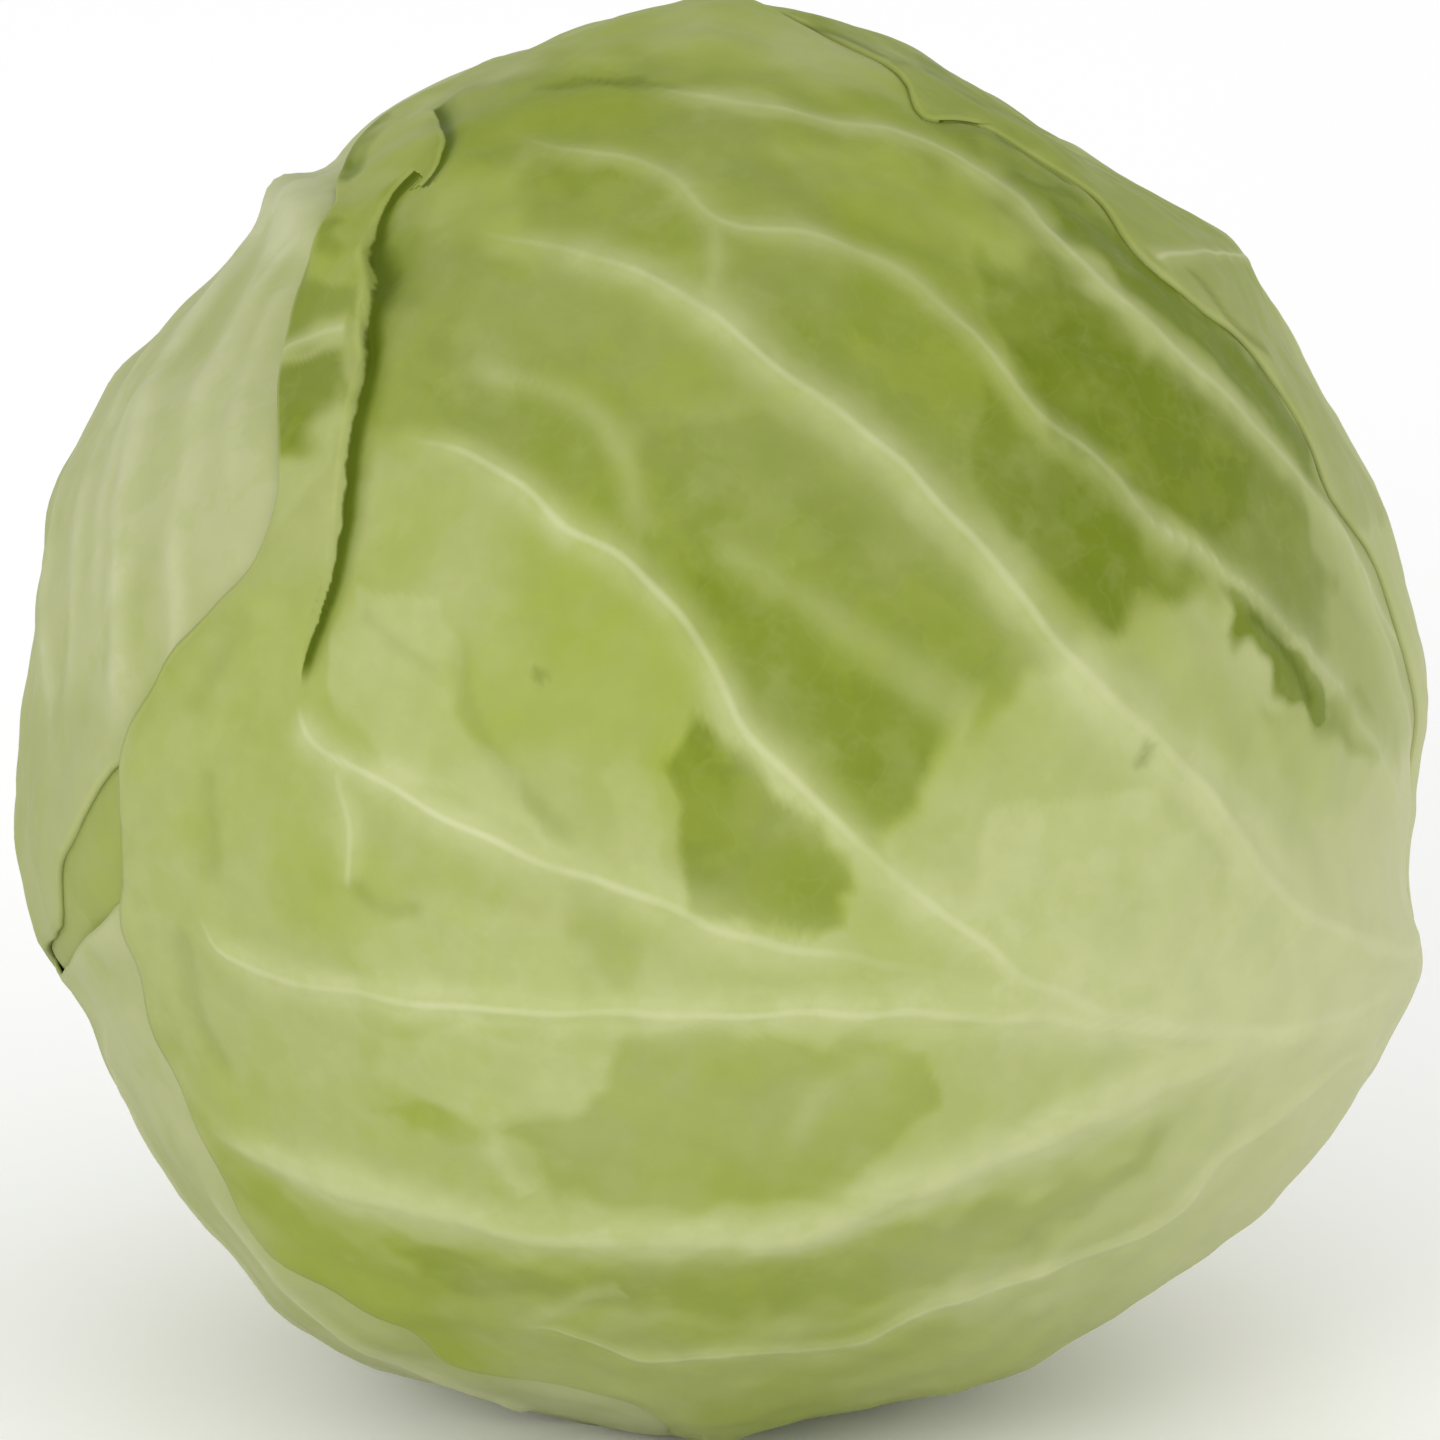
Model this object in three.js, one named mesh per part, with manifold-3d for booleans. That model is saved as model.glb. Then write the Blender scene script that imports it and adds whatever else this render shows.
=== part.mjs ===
/*
 * A head of green cabbage lying on its side: a dense inner head, five wrapper leaves that lie
 * one over another round it, and the cut stem they all grow from.
 *
 * Millimetres, +Z up. The head rests on a small flat spot at z = 0, with the origin under the
 * middle of the head. The stem points to +X, and the front of the head faces -Y and a little up.
 *
 * Every face is a radial one: a point is a direction from the middle of the head and a radius.
 * Directions are given in the front elevation, the view at right angles to the front:
 *   - front([[x, y], ...]) are millimetres right of and above the middle, on the front half;
 *   - around([[bearing, reach], ...]) are degrees: the bearing runs anticlockwise from the
 *     right, and the reach is the angle from the middle of the front (90 is the head's outline
 *     and 180 is the middle of the back).
 */
import * as THREE from 'three';
import { mergeVertices } from 'three/addons/utils/BufferGeometryUtils.js';
import Module from 'manifold-3d';

const wasm = await Module();
wasm.setup();

const { degToRad, radToDeg, lerp, smoothstep, euclideanModulo } = THREE.MathUtils;

// ---------------------------------------------------------------- driving dimensions

const MEAN_RADIUS = 88.5;
const CENTRE = new THREE.Vector3(-0.5, 0.6, 88.4);
const FRONT_TILT = degToRad(18); // how far above level the front faces

const BLADE = 1.0; // thickness of a leaf
const PITCH = 1.9; // from the outer face of one leaf to that of the leaf under it
const UNDER_SLACK = 0.4; // how much looser the lowest leaf lies
const DIP = 24; // an under leaf starts to sink this far from the margin that covers it

const STEM_POLE = [340.5, 99]; // bearing and reach of the stem
const STEM_RADIUS = 14;
const STEM_ROOT_RADIUS = 10;
const STEM_ROOT = 56; // from the middle of the head to the stem's inner end
const STEM_SHOULDER = 84; // where the stem is full width
const STEM_FACE = 92; // the cut face
const STEM_BEVEL = 1.2;
const STEM_SIDES = 20;
const STEM_CLEARANCE = 0.4;
const FOOT_REACH = 10; // degrees from the stem's axis to the leaves' feet
const FOOT_STEPS = 5;

const RIB_SINK = 0.75; // how far the root of a rib sits in the blade
const RIB_TIP = 0.3; // what is left of a rib's width and height at its far end
const RIB_MARGIN = 3; // a rib stops this far short of the leaf's margin
const RIB_STEP = 12; // between the sections of a rib

const HEAD_GAP = 0.9; // looser fit of the inner head under the leaves
const HEAD_DETAIL = 6; // cuts along an edge of the inner head's ball
const TEAR_STEPS = 12;
const TEAR_DEPTH = 3; // half the height of the wedge that opens the tear

const OUTLINE_SPREAD = 0.55; // how far the outline's corners carry on to the front and back
const OUTLINE_ROUNDING = [-4, -2, 0, 2, 4]; // degrees over which its corners are rounded

// The head's outline in the front elevation: [bearing, radius] at its corners.
const OUTLINE = [
  [0, 90.5], [6, 90.2], [19, 89], [30, 87.3], [42, 89.6], [60, 85.4], [75, 89], [90, 91.6],
  [108, 88.1], [120, 88.5], [126, 86.2], [129.5, 89.4], [134, 86.8], [150, 88.6], [161, 90],
  [176, 88], [190, 91.2], [199, 91], [204, 88.4], [211, 88.8], [222, 91], [240, 93.2],
  [255, 91], [270, 92], [278, 89.8], [294, 92], [318, 94.1], [341, 94.8], [350, 89], [355, 88.7],
  [360, 90.5],
];

// Slow swells of the whole head: [height, waves to the radius, direction they run in].
const SWELLS = [
  [0.45, 5.2, new THREE.Vector3(0.8, -0.2, 0.57)],
  [0.35, 7.4, new THREE.Vector3(-0.3, 0.77, 0.56)],
  [0.25, 10.6, new THREE.Vector3(0.48, 0.6, -0.64)],
];

// The tear in the front leaf, near its left margin, from its upper end to its lower end.
const TEAR = front([
  [-36, 76], [-37, 71], [-41, 65], [-43, 57], [-43, 49], [-45, 38], [-48, 27], [-51, 16],
  [-53, 8], [-53, 1],
]);
const TEAR_WIDTH = 3.2;
const TEAR_END_WIDTH = 0.5;
const TEAR_LIP = 1.3; // how far the lip on the left of the tear stands up
const TEAR_LIP_OFFSET = 5; // from the tear to the top of that lip
const TEAR_HOLLOW = 1.6; // how far the leaves under the tear are pressed in
const TEAR_REACH = 8; // how far the lip and the hollow run out sideways

// ---------------------------------------------------------------- places on the head

/** Unit vector for a place given right, up and out in the front elevation. */
function fromFront(right, up, out) {
  return new THREE.Vector3(right, -out, up).applyAxisAngle(new THREE.Vector3(1, 0, 0), -FRONT_TILT);
}

function around(places) {
  return places.map(([bearing, reach]) => {
    const turn = degToRad(bearing);
    const lean = degToRad(reach);
    const side = Math.sin(lean);
    return fromFront(side * Math.cos(turn), side * Math.sin(turn), Math.cos(lean));
  });
}

/** Places round the foot of the stem, by the angle from its front side through its top. */
function footArc(from, to) {
  const [bearing, reach] = STEM_POLE;
  return Array.from({ length: FOOT_STEPS + 1 }, (_, step) => {
    const angle = degToRad(lerp(from, to, step / FOOT_STEPS));
    return [bearing + FOOT_REACH * Math.sin(angle), reach - FOOT_REACH * Math.cos(angle)];
  });
}

function front(places) {
  return around(places.map(([x, y]) => {
    const bearing = radToDeg(Math.atan2(y, x));
    const share = Math.min(1, Math.hypot(x, y) / outlineRadius(bearing));
    return [bearing, radToDeg(Math.asin(share))];
  }));
}

/** Radius of the polygon through the outline's corners, straight from corner to corner. */
function polygonRadius(bearing) {
  const turn = euclideanModulo(bearing, 360);
  const next = Math.max(1, OUTLINE.findIndex(([corner]) => corner > turn));
  const [fromTurn, fromRadius] = OUTLINE[next - 1];
  const [toTurn, toRadius] = OUTLINE[next];
  const sine = (a, b) => Math.sin(degToRad(a - b));
  return sine(toTurn, fromTurn) / (sine(toTurn, turn) / fromRadius + sine(turn, fromTurn) / toRadius);
}

/** Radius of the head's outline, with the corners rounded. */
function outlineRadius(bearing) {
  const radii = OUTLINE_ROUNDING.map((offset) => polygonRadius(bearing + offset));
  return radii.reduce((sum, radius) => sum + radius) / radii.length;
}

/** Radius of the outermost face of the head, pressed flat where it rests. */
function headRadius(direction) {
  const [right, up, out] = [fromFront(1, 0, 0), fromFront(0, 1, 0), fromFront(0, 0, 1)]
    .map((axis) => direction.dot(axis));
  const swell = SWELLS.reduce((sum, [height, waves, run]) => (
    sum + height * Math.sin(waves * (direction.dot(run) + 1))), 0);
  const atOutline = Math.exp(-((out / OUTLINE_SPREAD) ** 2));
  const outline = outlineRadius(radToDeg(Math.atan2(up, right)));
  const radius = lerp(MEAN_RADIUS + swell, outline, atOutline);
  return direction.z < 0 ? Math.min(radius, -CENTRE.z / direction.z) : radius;
}

function placeAt(direction, radius) {
  return direction.clone().multiplyScalar(radius).add(CENTRE);
}

/** Distance in millimetres along the head from a direction to the tear, and on which side. */
function fromTear(direction) {
  let nearest = { distance: Infinity };
  TEAR.slice(1).forEach((end, index) => {
    const start = TEAR[index];
    const along = end.clone().sub(start);
    const share = THREE.MathUtils.clamp(
      direction.clone().sub(start).dot(along) / along.lengthSq(), 0, 1,
    );
    const offset = direction.clone().sub(start.clone().addScaledVector(along, share));
    const distance = offset.length() * MEAN_RADIUS;
    if (distance < nearest.distance) {
      const left = along.clone().cross(direction).dot(offset) > 0;
      nearest = { distance, left, share: (index + share) / (TEAR.length - 1) };
    }
  });
  return nearest;
}

// ---------------------------------------------------------------- closed meshes

function solid(vertices, triangles) {
  const geometry = new THREE.BufferGeometry();
  geometry.setAttribute('position', new THREE.Float32BufferAttribute(
    vertices.flatMap((vertex) => vertex.toArray()), 3,
  ));
  geometry.setIndex(triangles.flat());
  return solidOf(geometry);
}

function solidOf(geometry) {
  geometry.deleteAttribute('normal');
  geometry.deleteAttribute('uv');
  const merged = mergeVertices(geometry, 1e-4);
  return new wasm.Manifold(new wasm.Mesh({
    numProp: 3,
    vertProperties: new Float32Array(merged.attributes.position.array),
    triVerts: new Uint32Array(merged.index.array),
  }));
}

function meshOf(name, manifold, colour, roughness) {
  const { vertProperties, triVerts } = manifold.getMesh();
  const geometry = new THREE.BufferGeometry();
  geometry.setAttribute('position', new THREE.BufferAttribute(vertProperties, 3));
  geometry.setIndex(new THREE.BufferAttribute(triVerts, 1));
  geometry.computeVertexNormals();
  const material = new THREE.MeshStandardMaterial({ color: colour, roughness, metalness: 0 });
  const mesh = new THREE.Mesh(geometry, material);
  mesh.name = name;
  return mesh;
}

/** Closed tube through rings of the same number of points, from the first ring to the last. */
function tube(rings) {
  const sides = rings[0].length;
  const triangles = [];
  for (let ring = 0; ring < rings.length - 1; ring += 1) {
    for (let side = 0; side < sides; side += 1) {
      const a = ring * sides + side;
      const b = ring * sides + ((side + 1) % sides);
      triangles.push([a, b + sides, b], [a, a + sides, b + sides]);
    }
  }
  const last = (rings.length - 1) * sides;
  for (let side = 1; side < sides - 1; side += 1) {
    triangles.push([0, side, side + 1], [last, last + side + 1, last + side]);
  }
  return solid(rings.flat(), triangles);
}

// ---------------------------------------------------------------- leaves

/** The longest unbroken run of places that pass a test. */
function longestRun(places, passes) {
  const runs = [[]];
  places.forEach((place) => (passes(place) ? runs.at(-1).push(place) : runs.push([])));
  return runs.reduce((longest, run) => (run.length > longest.length ? run : longest));
}

/**
 * One wrapper leaf. Its outline is flattened round a middle direction: a place keeps its
 * distance along the head and its heading from that middle. Outer leaves lie over it.
 */
class Leaf {
  constructor({ name, colour, cells, middle, outline, outer, lift = none, hollow = none }) {
    Object.assign(this, { name, colour, cells, outer, lift, hollow });
    this.middle = around([middle])[0];
    this.east = new THREE.Vector3(0, 0, 1).cross(this.middle).normalize();
    this.north = this.middle.clone().cross(this.east);
    this.margin = new THREE.CatmullRomCurve3(
      outline.map((direction) => this.flatten(direction)), true, 'centripetal',
    );
    if (THREE.ShapeUtils.area(this.margin.points) < 0) this.margin.points.reverse();
    this.border = this.margin.getSpacedPoints(outline.length * 4).slice(1);
  }

  flatten(direction) {
    const distance = MEAN_RADIUS * direction.angleTo(this.middle);
    const heading = Math.atan2(direction.dot(this.north), direction.dot(this.east));
    return new THREE.Vector3(distance * Math.cos(heading), distance * Math.sin(heading), 0);
  }

  unflatten(place) {
    const lean = place.length() / MEAN_RADIUS;
    const heading = Math.atan2(place.y, place.x);
    return this.middle.clone().multiplyScalar(Math.cos(lean))
      .addScaledVector(this.east, Math.sin(lean) * Math.cos(heading))
      .addScaledVector(this.north, Math.sin(lean) * Math.sin(heading));
  }

  /** Millimetres from a direction to this leaf's margin, negative outside the leaf. */
  inside(direction) {
    const place = this.flatten(direction);
    let nearest = Infinity;
    let within = false;
    this.border.forEach((end, index) => {
      const start = this.border.at(index - 1);
      const along = end.clone().sub(start);
      const offset = place.clone().sub(start);
      const share = THREE.MathUtils.clamp(offset.dot(along) / along.lengthSq(), 0, 1);
      nearest = Math.min(nearest, offset.addScaledVector(along, -share).length());
      const crossing = start.x + (along.x * (place.y - start.y)) / along.y;
      if ((start.y > place.y) !== (end.y > place.y) && place.x < crossing) within = !within;
    });
    return within ? nearest : -nearest;
  }

  /** How far the outer leaves press this one in. */
  depth(direction) {
    return depthUnder(this.outer, direction);
  }

  /** Whether no outer leaf lies over a direction, or close to it. */
  bare(direction) {
    return this.outer.every((leaf) => leaf.inside(direction) < -RIB_MARGIN);
  }

  /** How far this leaf presses in what lies under it. */
  press(direction) {
    return PITCH * smoothstep(this.inside(direction), -DIP, 0) + this.hollow(direction);
  }

  /** Radius of the outer face. */
  radius(direction) {
    return headRadius(direction) - this.depth(direction) + this.lift(direction);
  }

  /**
   * The blade: rows of cells between the middle and the margin, in nested squares bent to the
   * outline, split alike on both faces, with a rim between the faces.
   */
  blade() {
    const count = this.cells + 1;
    const faces = [0, BLADE].map((below) => {
      const vertices = [];
      for (let row = 0; row < count; row += 1) {
        for (let column = 0; column < count; column += 1) {
          const u = (2 * column) / this.cells - 1;
          const v = (2 * row) / this.cells - 1;
          const direction = this.unflatten(this.squareToLeaf(u, v));
          vertices.push(placeAt(direction, this.radius(direction) - below));
        }
      }
      return vertices;
    });
    const under = count * count;
    const triangles = [];
    for (let row = 0; row < this.cells; row += 1) {
      for (let column = 0; column < this.cells; column += 1) {
        const a = row * count + column;
        const [b, c, d] = [a + 1, a + count + 1, a + count];
        const rising = (2 * row < this.cells) === (2 * column < this.cells);
        const halves = rising ? [[a, b, c], [a, c, d]] : [[a, b, d], [b, c, d]];
        halves.forEach(([i, j, k]) => triangles.push([i, j, k], [under + i, under + k, under + j]));
      }
    }
    const rim = [];
    for (let step = 0; step < this.cells; step += 1) rim.push(step);
    for (let step = 0; step < this.cells; step += 1) rim.push(step * count + this.cells);
    for (let step = this.cells; step > 0; step -= 1) rim.push(this.cells * count + step);
    for (let step = this.cells; step > 0; step -= 1) rim.push(step * count);
    rim.forEach((start, index) => {
      const end = rim[(index + 1) % rim.length];
      triangles.push([start, under + start, end], [end, under + start, under + end]);
    });
    return solid(faces.flat(), triangles);
  }

  squareToLeaf(u, v) {
    const size = Math.max(Math.abs(u), Math.abs(v));
    if (size === 0) return new THREE.Vector3();
    const [x, y] = [u / size, v / size];
    let share;
    if (y === -1) share = (x + 1) / 8;
    else if (x === 1) share = (y + 3) / 8;
    else if (y === 1) share = (5 - x) / 8;
    else share = (7 - y) / 8;
    return this.margin.getPointAt(share % 1).multiplyScalar(size);
  }

  /** A rib that stands on the outer face along a line of directions, thinner to its far end. */
  rib(line, width, height) {
    const curve = new THREE.CatmullRomCurve3(line, false, 'centripetal');
    const steps = Math.ceil((curve.getLength() * MEAN_RADIUS) / RIB_STEP);
    const places = curve.getSpacedPoints(steps).map((place) => place.normalize());
    const bare = longestRun(places, (place) => this.inside(place) > RIB_MARGIN && this.bare(place));
    if (bare.length < 3) return null;
    const rings = bare.map((direction, index) => {
      const along = bare[Math.min(index + 1, bare.length - 1)].clone()
        .sub(bare[Math.max(index - 1, 0)]).normalize();
      const across = direction.clone().cross(along).normalize();
      const size = lerp(1, RIB_TIP, index / (bare.length - 1));
      const end = index === 0 || index === bare.length - 1;
      const top = end ? 0 : height * size;
      return [[-0.5, -RIB_SINK], [-0.22, top], [0.22, top], [0.5, -RIB_SINK]]
        .map(([side, rise]) => {
          const lean = direction.clone().addScaledVector(across, (side * width * size) / MEAN_RADIUS);
          lean.normalize();
          return placeAt(lean, this.radius(lean) + rise);
        });
    });
    return tube(rings);
  }

  /** Midrib from base to tip with pairs of side veins that lean towards the tip. */
  branchedLines(base, tip, pairs, reach) {
    const [root, end] = [base, tip].map((direction) => this.flatten(direction));
    const axis = end.clone().sub(root);
    const lines = [[0, 0.34, 0.67, 1].map((share) => root.clone().addScaledVector(axis, share))];
    const vertical = new THREE.Vector3(0, 0, 1);
    for (let pair = 0; pair < pairs; pair += 1) {
      const share = (pair + 0.35) / (pairs + 0.6);
      [-1, 1].forEach((side) => {
        const start = root.clone().addScaledVector(axis, share);
        const length = reach * (1 - 0.35 * share);
        const out = axis.clone().normalize().applyAxisAngle(vertical, side * 0.8);
        const on = axis.clone().normalize().applyAxisAngle(vertical, side * 0.42);
        const bend = start.clone().addScaledVector(out, length * 0.5);
        lines.push([start, bend, bend.clone().addScaledVector(on, length * 0.5)]);
      });
    }
    return lines.map((line) => line.map((place) => this.unflatten(place)));
  }
}

/** How far a stack of leaves presses in what lies under it, in a direction. */
function depthUnder(leaves, direction) {
  return leaves.reduce((sum, leaf) => sum + leaf.press(direction), 0);
}

const none = () => 0;

const leafTop = new Leaf({
  name: 'leaf_top',
  colour: 0x94a062,
  cells: 17,
  middle: [46, 102],
  outer: [],
  outline: [
    ...front([
      [87, 10], [84, 19], [78, 28], [74, 37], [70, 43], [66, 48], [60, 53], [52, 59], [47, 66],
      [41, 70], [33, 75], [26, 76], [23, 82], [14, 87],
    ]),
    ...around([
      [87, 90], [93, 98], [99, 108], [99, 118], [92, 128], [80, 134], [66, 135], [50, 134],
      [32, 131], [14, 127], [0, 120], [350, 114], ...footArc(165, 15), [351, 87], [0, 83],
    ]),
  ],
});

const leafFront = new Leaf({
  name: 'leaf_front',
  colour: 0x95a050,
  cells: 23,
  middle: [290, 34],
  outer: [leafTop],
  outline: [
    ...front([
      [-41, 77], [-47, 70], [-49, 63], [-52, 53], [-54, 40], [-55, 29], [-59, 20], [-67, 9],
      [-75, -4], [-76, -10], [-76, -27], [-74, -31], [-71, -41], [-67, -50], [-64, -57],
      [-57, -68], [-48, -74], [-40, -78], [-34, -82], [-20, -85], [-9, -88], [-2, -91],
    ]),
    ...around([
      [266, 97], [259, 107], [256, 118], [260, 130], [270, 137], [285, 136], [300, 130],
      [315, 122], [327, 113], ...footArc(230, 385), [352, 90], [2, 94], [14, 90], [28, 86],
      [42, 83], [55, 84], [66, 86], [76, 91], [86, 96], [97, 98], [108, 94], [115, 88],
    ]),
  ],
  lift: (direction) => {
    const { distance, left } = fromTear(direction);
    const fromLip = left ? distance - TEAR_LIP_OFFSET : distance + TEAR_LIP_OFFSET;
    return TEAR_LIP * Math.exp(-((fromLip / TEAR_LIP_OFFSET) ** 2));
  },
  hollow: (direction) => TEAR_HOLLOW * Math.exp(-((fromTear(direction).distance / TEAR_REACH) ** 2)),
});

const leafBack = new Leaf({
  name: 'leaf_back',
  colour: 0x8f9b58,
  cells: 15,
  middle: [0, 180],
  outer: [leafTop, leafFront],
  outline: around([
    ...footArc(135, 235), [326, 113], [312, 113], [295, 117], [275, 119],
    [262, 110], [245, 112], [230, 109], [215, 107], [203, 106], [190, 111], [175, 111],
    [160, 108], [145, 109], [130, 113], [118, 120], [105, 127], [85, 122], [60, 120], [35, 118],
    [12, 114], [355, 108],
  ]),
});

const leafLeft = new Leaf({
  name: 'leaf_left',
  colour: 0xb8bb92,
  cells: 20,
  middle: [92, 90],
  outer: [leafTop, leafFront, leafBack],
  outline: [
    ...front([[-75, -5], [-82, -14], [-84, -19], [-84, -27]]),
    ...around([
      [200, 92], [202, 100], [197, 108], [185, 114], [172, 118], [150, 126], [125, 136],
      [100, 140], [80, 138], [60, 136], [40, 132], [15, 124], [356, 113], ...footArc(130, 45),
      [354, 86], [2, 78], [14, 68], [33, 62], [55, 60], [78, 58], [100, 52],
      [122, 40], [145, 28], [165, 28], [180, 36], [188, 48],
    ]),
  ],
});

const leafUnder = new Leaf({
  name: 'leaf_under',
  colour: 0x9ea46e,
  cells: 17,
  middle: [266, 94],
  outer: [leafTop, leafFront, leafBack, leafLeft],
  lift: () => -UNDER_SLACK,
  outline: around([
    [199, 68], [200.5, 78], [201, 88], [198, 97], [196, 106], [202, 117], [215, 125],
    [235, 130], [258, 134], [285, 134], [310, 124], [326, 114], ...footArc(225, 315),
    [315, 82], [290, 74], [265, 66], [245, 60], [225, 52], [206, 50], [197, 59],
  ]),
});

const LEAVES = [leafTop, leafFront, leafBack, leafLeft, leafUnder];

// ---------------------------------------------------------------- the stem and the inner head

/** Turned body of the stem, from its inner end to the cut face, wider by a clearance. */
function stemBody(clearance) {
  const radius = STEM_RADIUS + clearance;
  const face = STEM_FACE + clearance;
  const profile = [
    [0, STEM_ROOT - clearance], [STEM_ROOT_RADIUS + clearance, STEM_ROOT - clearance],
    [radius, STEM_SHOULDER], [radius, face - STEM_BEVEL], [radius - STEM_BEVEL, face], [0, face],
  ].map(([x, y]) => new THREE.Vector2(x, y));
  const turned = new THREE.LatheGeometry(profile, STEM_SIDES);
  const [pole] = around([STEM_POLE]);
  turned.applyQuaternion(new THREE.Quaternion().setFromUnitVectors(new THREE.Vector3(0, 1, 0), pole));
  turned.translate(...CENTRE.toArray());
  return solidOf(turned);
}

function innerHead() {
  const ball = new THREE.IcosahedronGeometry(1, HEAD_DETAIL);
  const corners = ball.attributes.position;
  const direction = new THREE.Vector3();
  for (let corner = 0; corner < corners.count; corner += 1) {
    direction.fromBufferAttribute(corners, corner).normalize();
    const radius = headRadius(direction) - depthUnder(LEAVES, direction) - HEAD_GAP;
    const place = placeAt(direction, radius);
    corners.setXYZ(corner, ...place.toArray());
  }
  return solidOf(ball).subtract(stemBody(STEM_CLEARANCE));
}

/** The wedge that parts the front leaf along its tear, widest in the middle. */
function tearWedge() {
  const curve = new THREE.CatmullRomCurve3(TEAR, false, 'centripetal');
  const places = curve.getSpacedPoints(TEAR_STEPS).map((place) => place.normalize());
  return tube(places.map((direction, index) => {
    const along = curve.getTangentAt(index / TEAR_STEPS);
    const across = direction.clone().cross(along).normalize();
    const opening = Math.sin(Math.PI * (index / TEAR_STEPS)) ** 0.7;
    const half = lerp(TEAR_END_WIDTH, TEAR_WIDTH, opening) / 2;
    return [[-half, -TEAR_DEPTH], [-half, TEAR_DEPTH], [half, TEAR_DEPTH], [half, -TEAR_DEPTH]]
      .map(([side, rise]) => (
        placeAt(direction, leafFront.radius(direction) + rise).addScaledVector(across, side)));
  }));
}

// ---------------------------------------------------------------- ribs

const RIBS = new Map([
  [leafTop, [
    ...leafTop.branchedLines(...around([[353, 102], [92, 112]]), 3, 66)
      .map((line) => [line, 4.4, 1.0]),
  ]],
  [leafFront, [
    [front([[85, 10], [79, 23], [65, 38], [43, 58], [29, 70], [10, 77], [-15, 81]]), 3.4, 0.9],
    [front([[80, 2], [65, 18], [56, 23], [41, 39], [27, 52], [10, 62], [-4, 70], [-20, 72]]), 3.2, 0.8],
    [front([[77, -27], [64, -13], [50, 2], [33, 20], [14, 38], [0, 51], [-20, 58], [-34, 61]]), 5, 1.3],
    [front([[48, -39], [33, -29], [14, -12], [4, -2], [-10, 18], [-20, 25], [-40, 35]]), 3.6, 0.9],
    [front([[38, -36], [18, -31], [-10, -23], [-32, -14], [-51, -3]]), 3.8, 1.0],
    [front([[80, -36], [65, -40], [36, -36], [-15, -38], [-40, -36], [-67, -24]]), 5, 1.2],
    [front([[78, -39], [61, -46], [36, -56], [10, -66], [-21, -66], [-49, -60], [-67, -50]]), 4, 1.0],
    [front([[80, -43], [65, -57], [46, -69], [17, -80], [-10, -82], [-28, -78]]), 3.4, 0.8],
    [front([[-2, 53], [-1, 64]]), 2.4, 0.6],
    [front([[-10, 25], [-15, 39], [-29, 43]]), 2.4, 0.6],
    [front([[31, 1], [18, 9], [-2, 22]]), 2.4, 0.6],
    [around([[325, 103], [305, 108], [285, 118]]), 3.4, 0.8],
  ]],
  [leafBack, [
    ...leafBack.branchedLines(...around([[340, 113], [178, 116]]), 3, 74)
      .map((line) => [line, 5, 1.1]),
  ]],
  [leafLeft, [
    [around([[6, 100], [60, 100], [100, 96], [125, 93], [136, 83], [153, 72], [180, 61]]), 9, 1.6],
    [around([[6, 104], [60, 106], [100, 104], [128, 100], [150, 90], [172, 78], [186, 72]]), 5, 1.0],
    [around([[125, 84], [136, 70], [149, 60], [163, 52]]), 6, 1.1],
    [around([[100, 118], [125, 116], [150, 108], [170, 98], [188, 92]]), 4, 0.9],
  ]],
  [leafUnder, [
    [around([[318, 100], [280, 98], [240, 94], [215, 90], [206, 78]]), 4.4, 1.0],
    [around([[255, 88], [238, 80], [222, 76]]), 3, 0.7],
  ]],
]);

function leafSolid(leaf) {
  const ribs = RIBS.get(leaf).map((rib) => leaf.rib(...rib)).filter((rib) => rib !== null);
  const ribbed = ribs.reduce((whole, rib) => whole.add(rib), leaf.blade());
  return largestBody(leaf === leafFront ? ribbed.subtract(tearWedge()) : ribbed);
}

/** The main body of a solid: joining can leave scraps and fill-in hollows beside it. */
function largestBody(manifold) {
  return manifold.decompose().reduce((main, body) => (body.volume() > main.volume() ? body : main));
}

// ---------------------------------------------------------------- the head

const cabbage = new THREE.Group();
cabbage.name = 'cabbage_head';
cabbage.add(meshOf('cut_stem', stemBody(0), 0xc9cba3, 0.7));
cabbage.add(meshOf('inner_head', innerHead(), 0x86923f, 0.6));
LEAVES.forEach((leaf) => {
  cabbage.add(meshOf(leaf.name, leafSolid(leaf), leaf.colour, 0.55));
});

export default cabbage;
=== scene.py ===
"""A head of green cabbage on its side: its wrapper leaves, inner head and cut stem, dressed.

Every face is a radial one: a point is a direction from the middle of the head and a radius.
Lengths in the fields are millimetres; the meshes are made in metres.
"""

import logging
from collections.abc import Sequence
from dataclasses import dataclass, field
from enum import Enum
from typing import Any

import bpy
import numpy as np
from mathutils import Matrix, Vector


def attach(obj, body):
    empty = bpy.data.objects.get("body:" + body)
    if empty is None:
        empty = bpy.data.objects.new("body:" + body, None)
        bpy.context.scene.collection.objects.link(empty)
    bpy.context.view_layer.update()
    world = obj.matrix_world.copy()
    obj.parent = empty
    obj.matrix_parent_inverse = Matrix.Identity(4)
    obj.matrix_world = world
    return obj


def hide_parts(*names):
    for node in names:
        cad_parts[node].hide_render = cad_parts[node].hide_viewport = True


Array = np.ndarray
Places = Sequence[tuple[float, float]]

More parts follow.
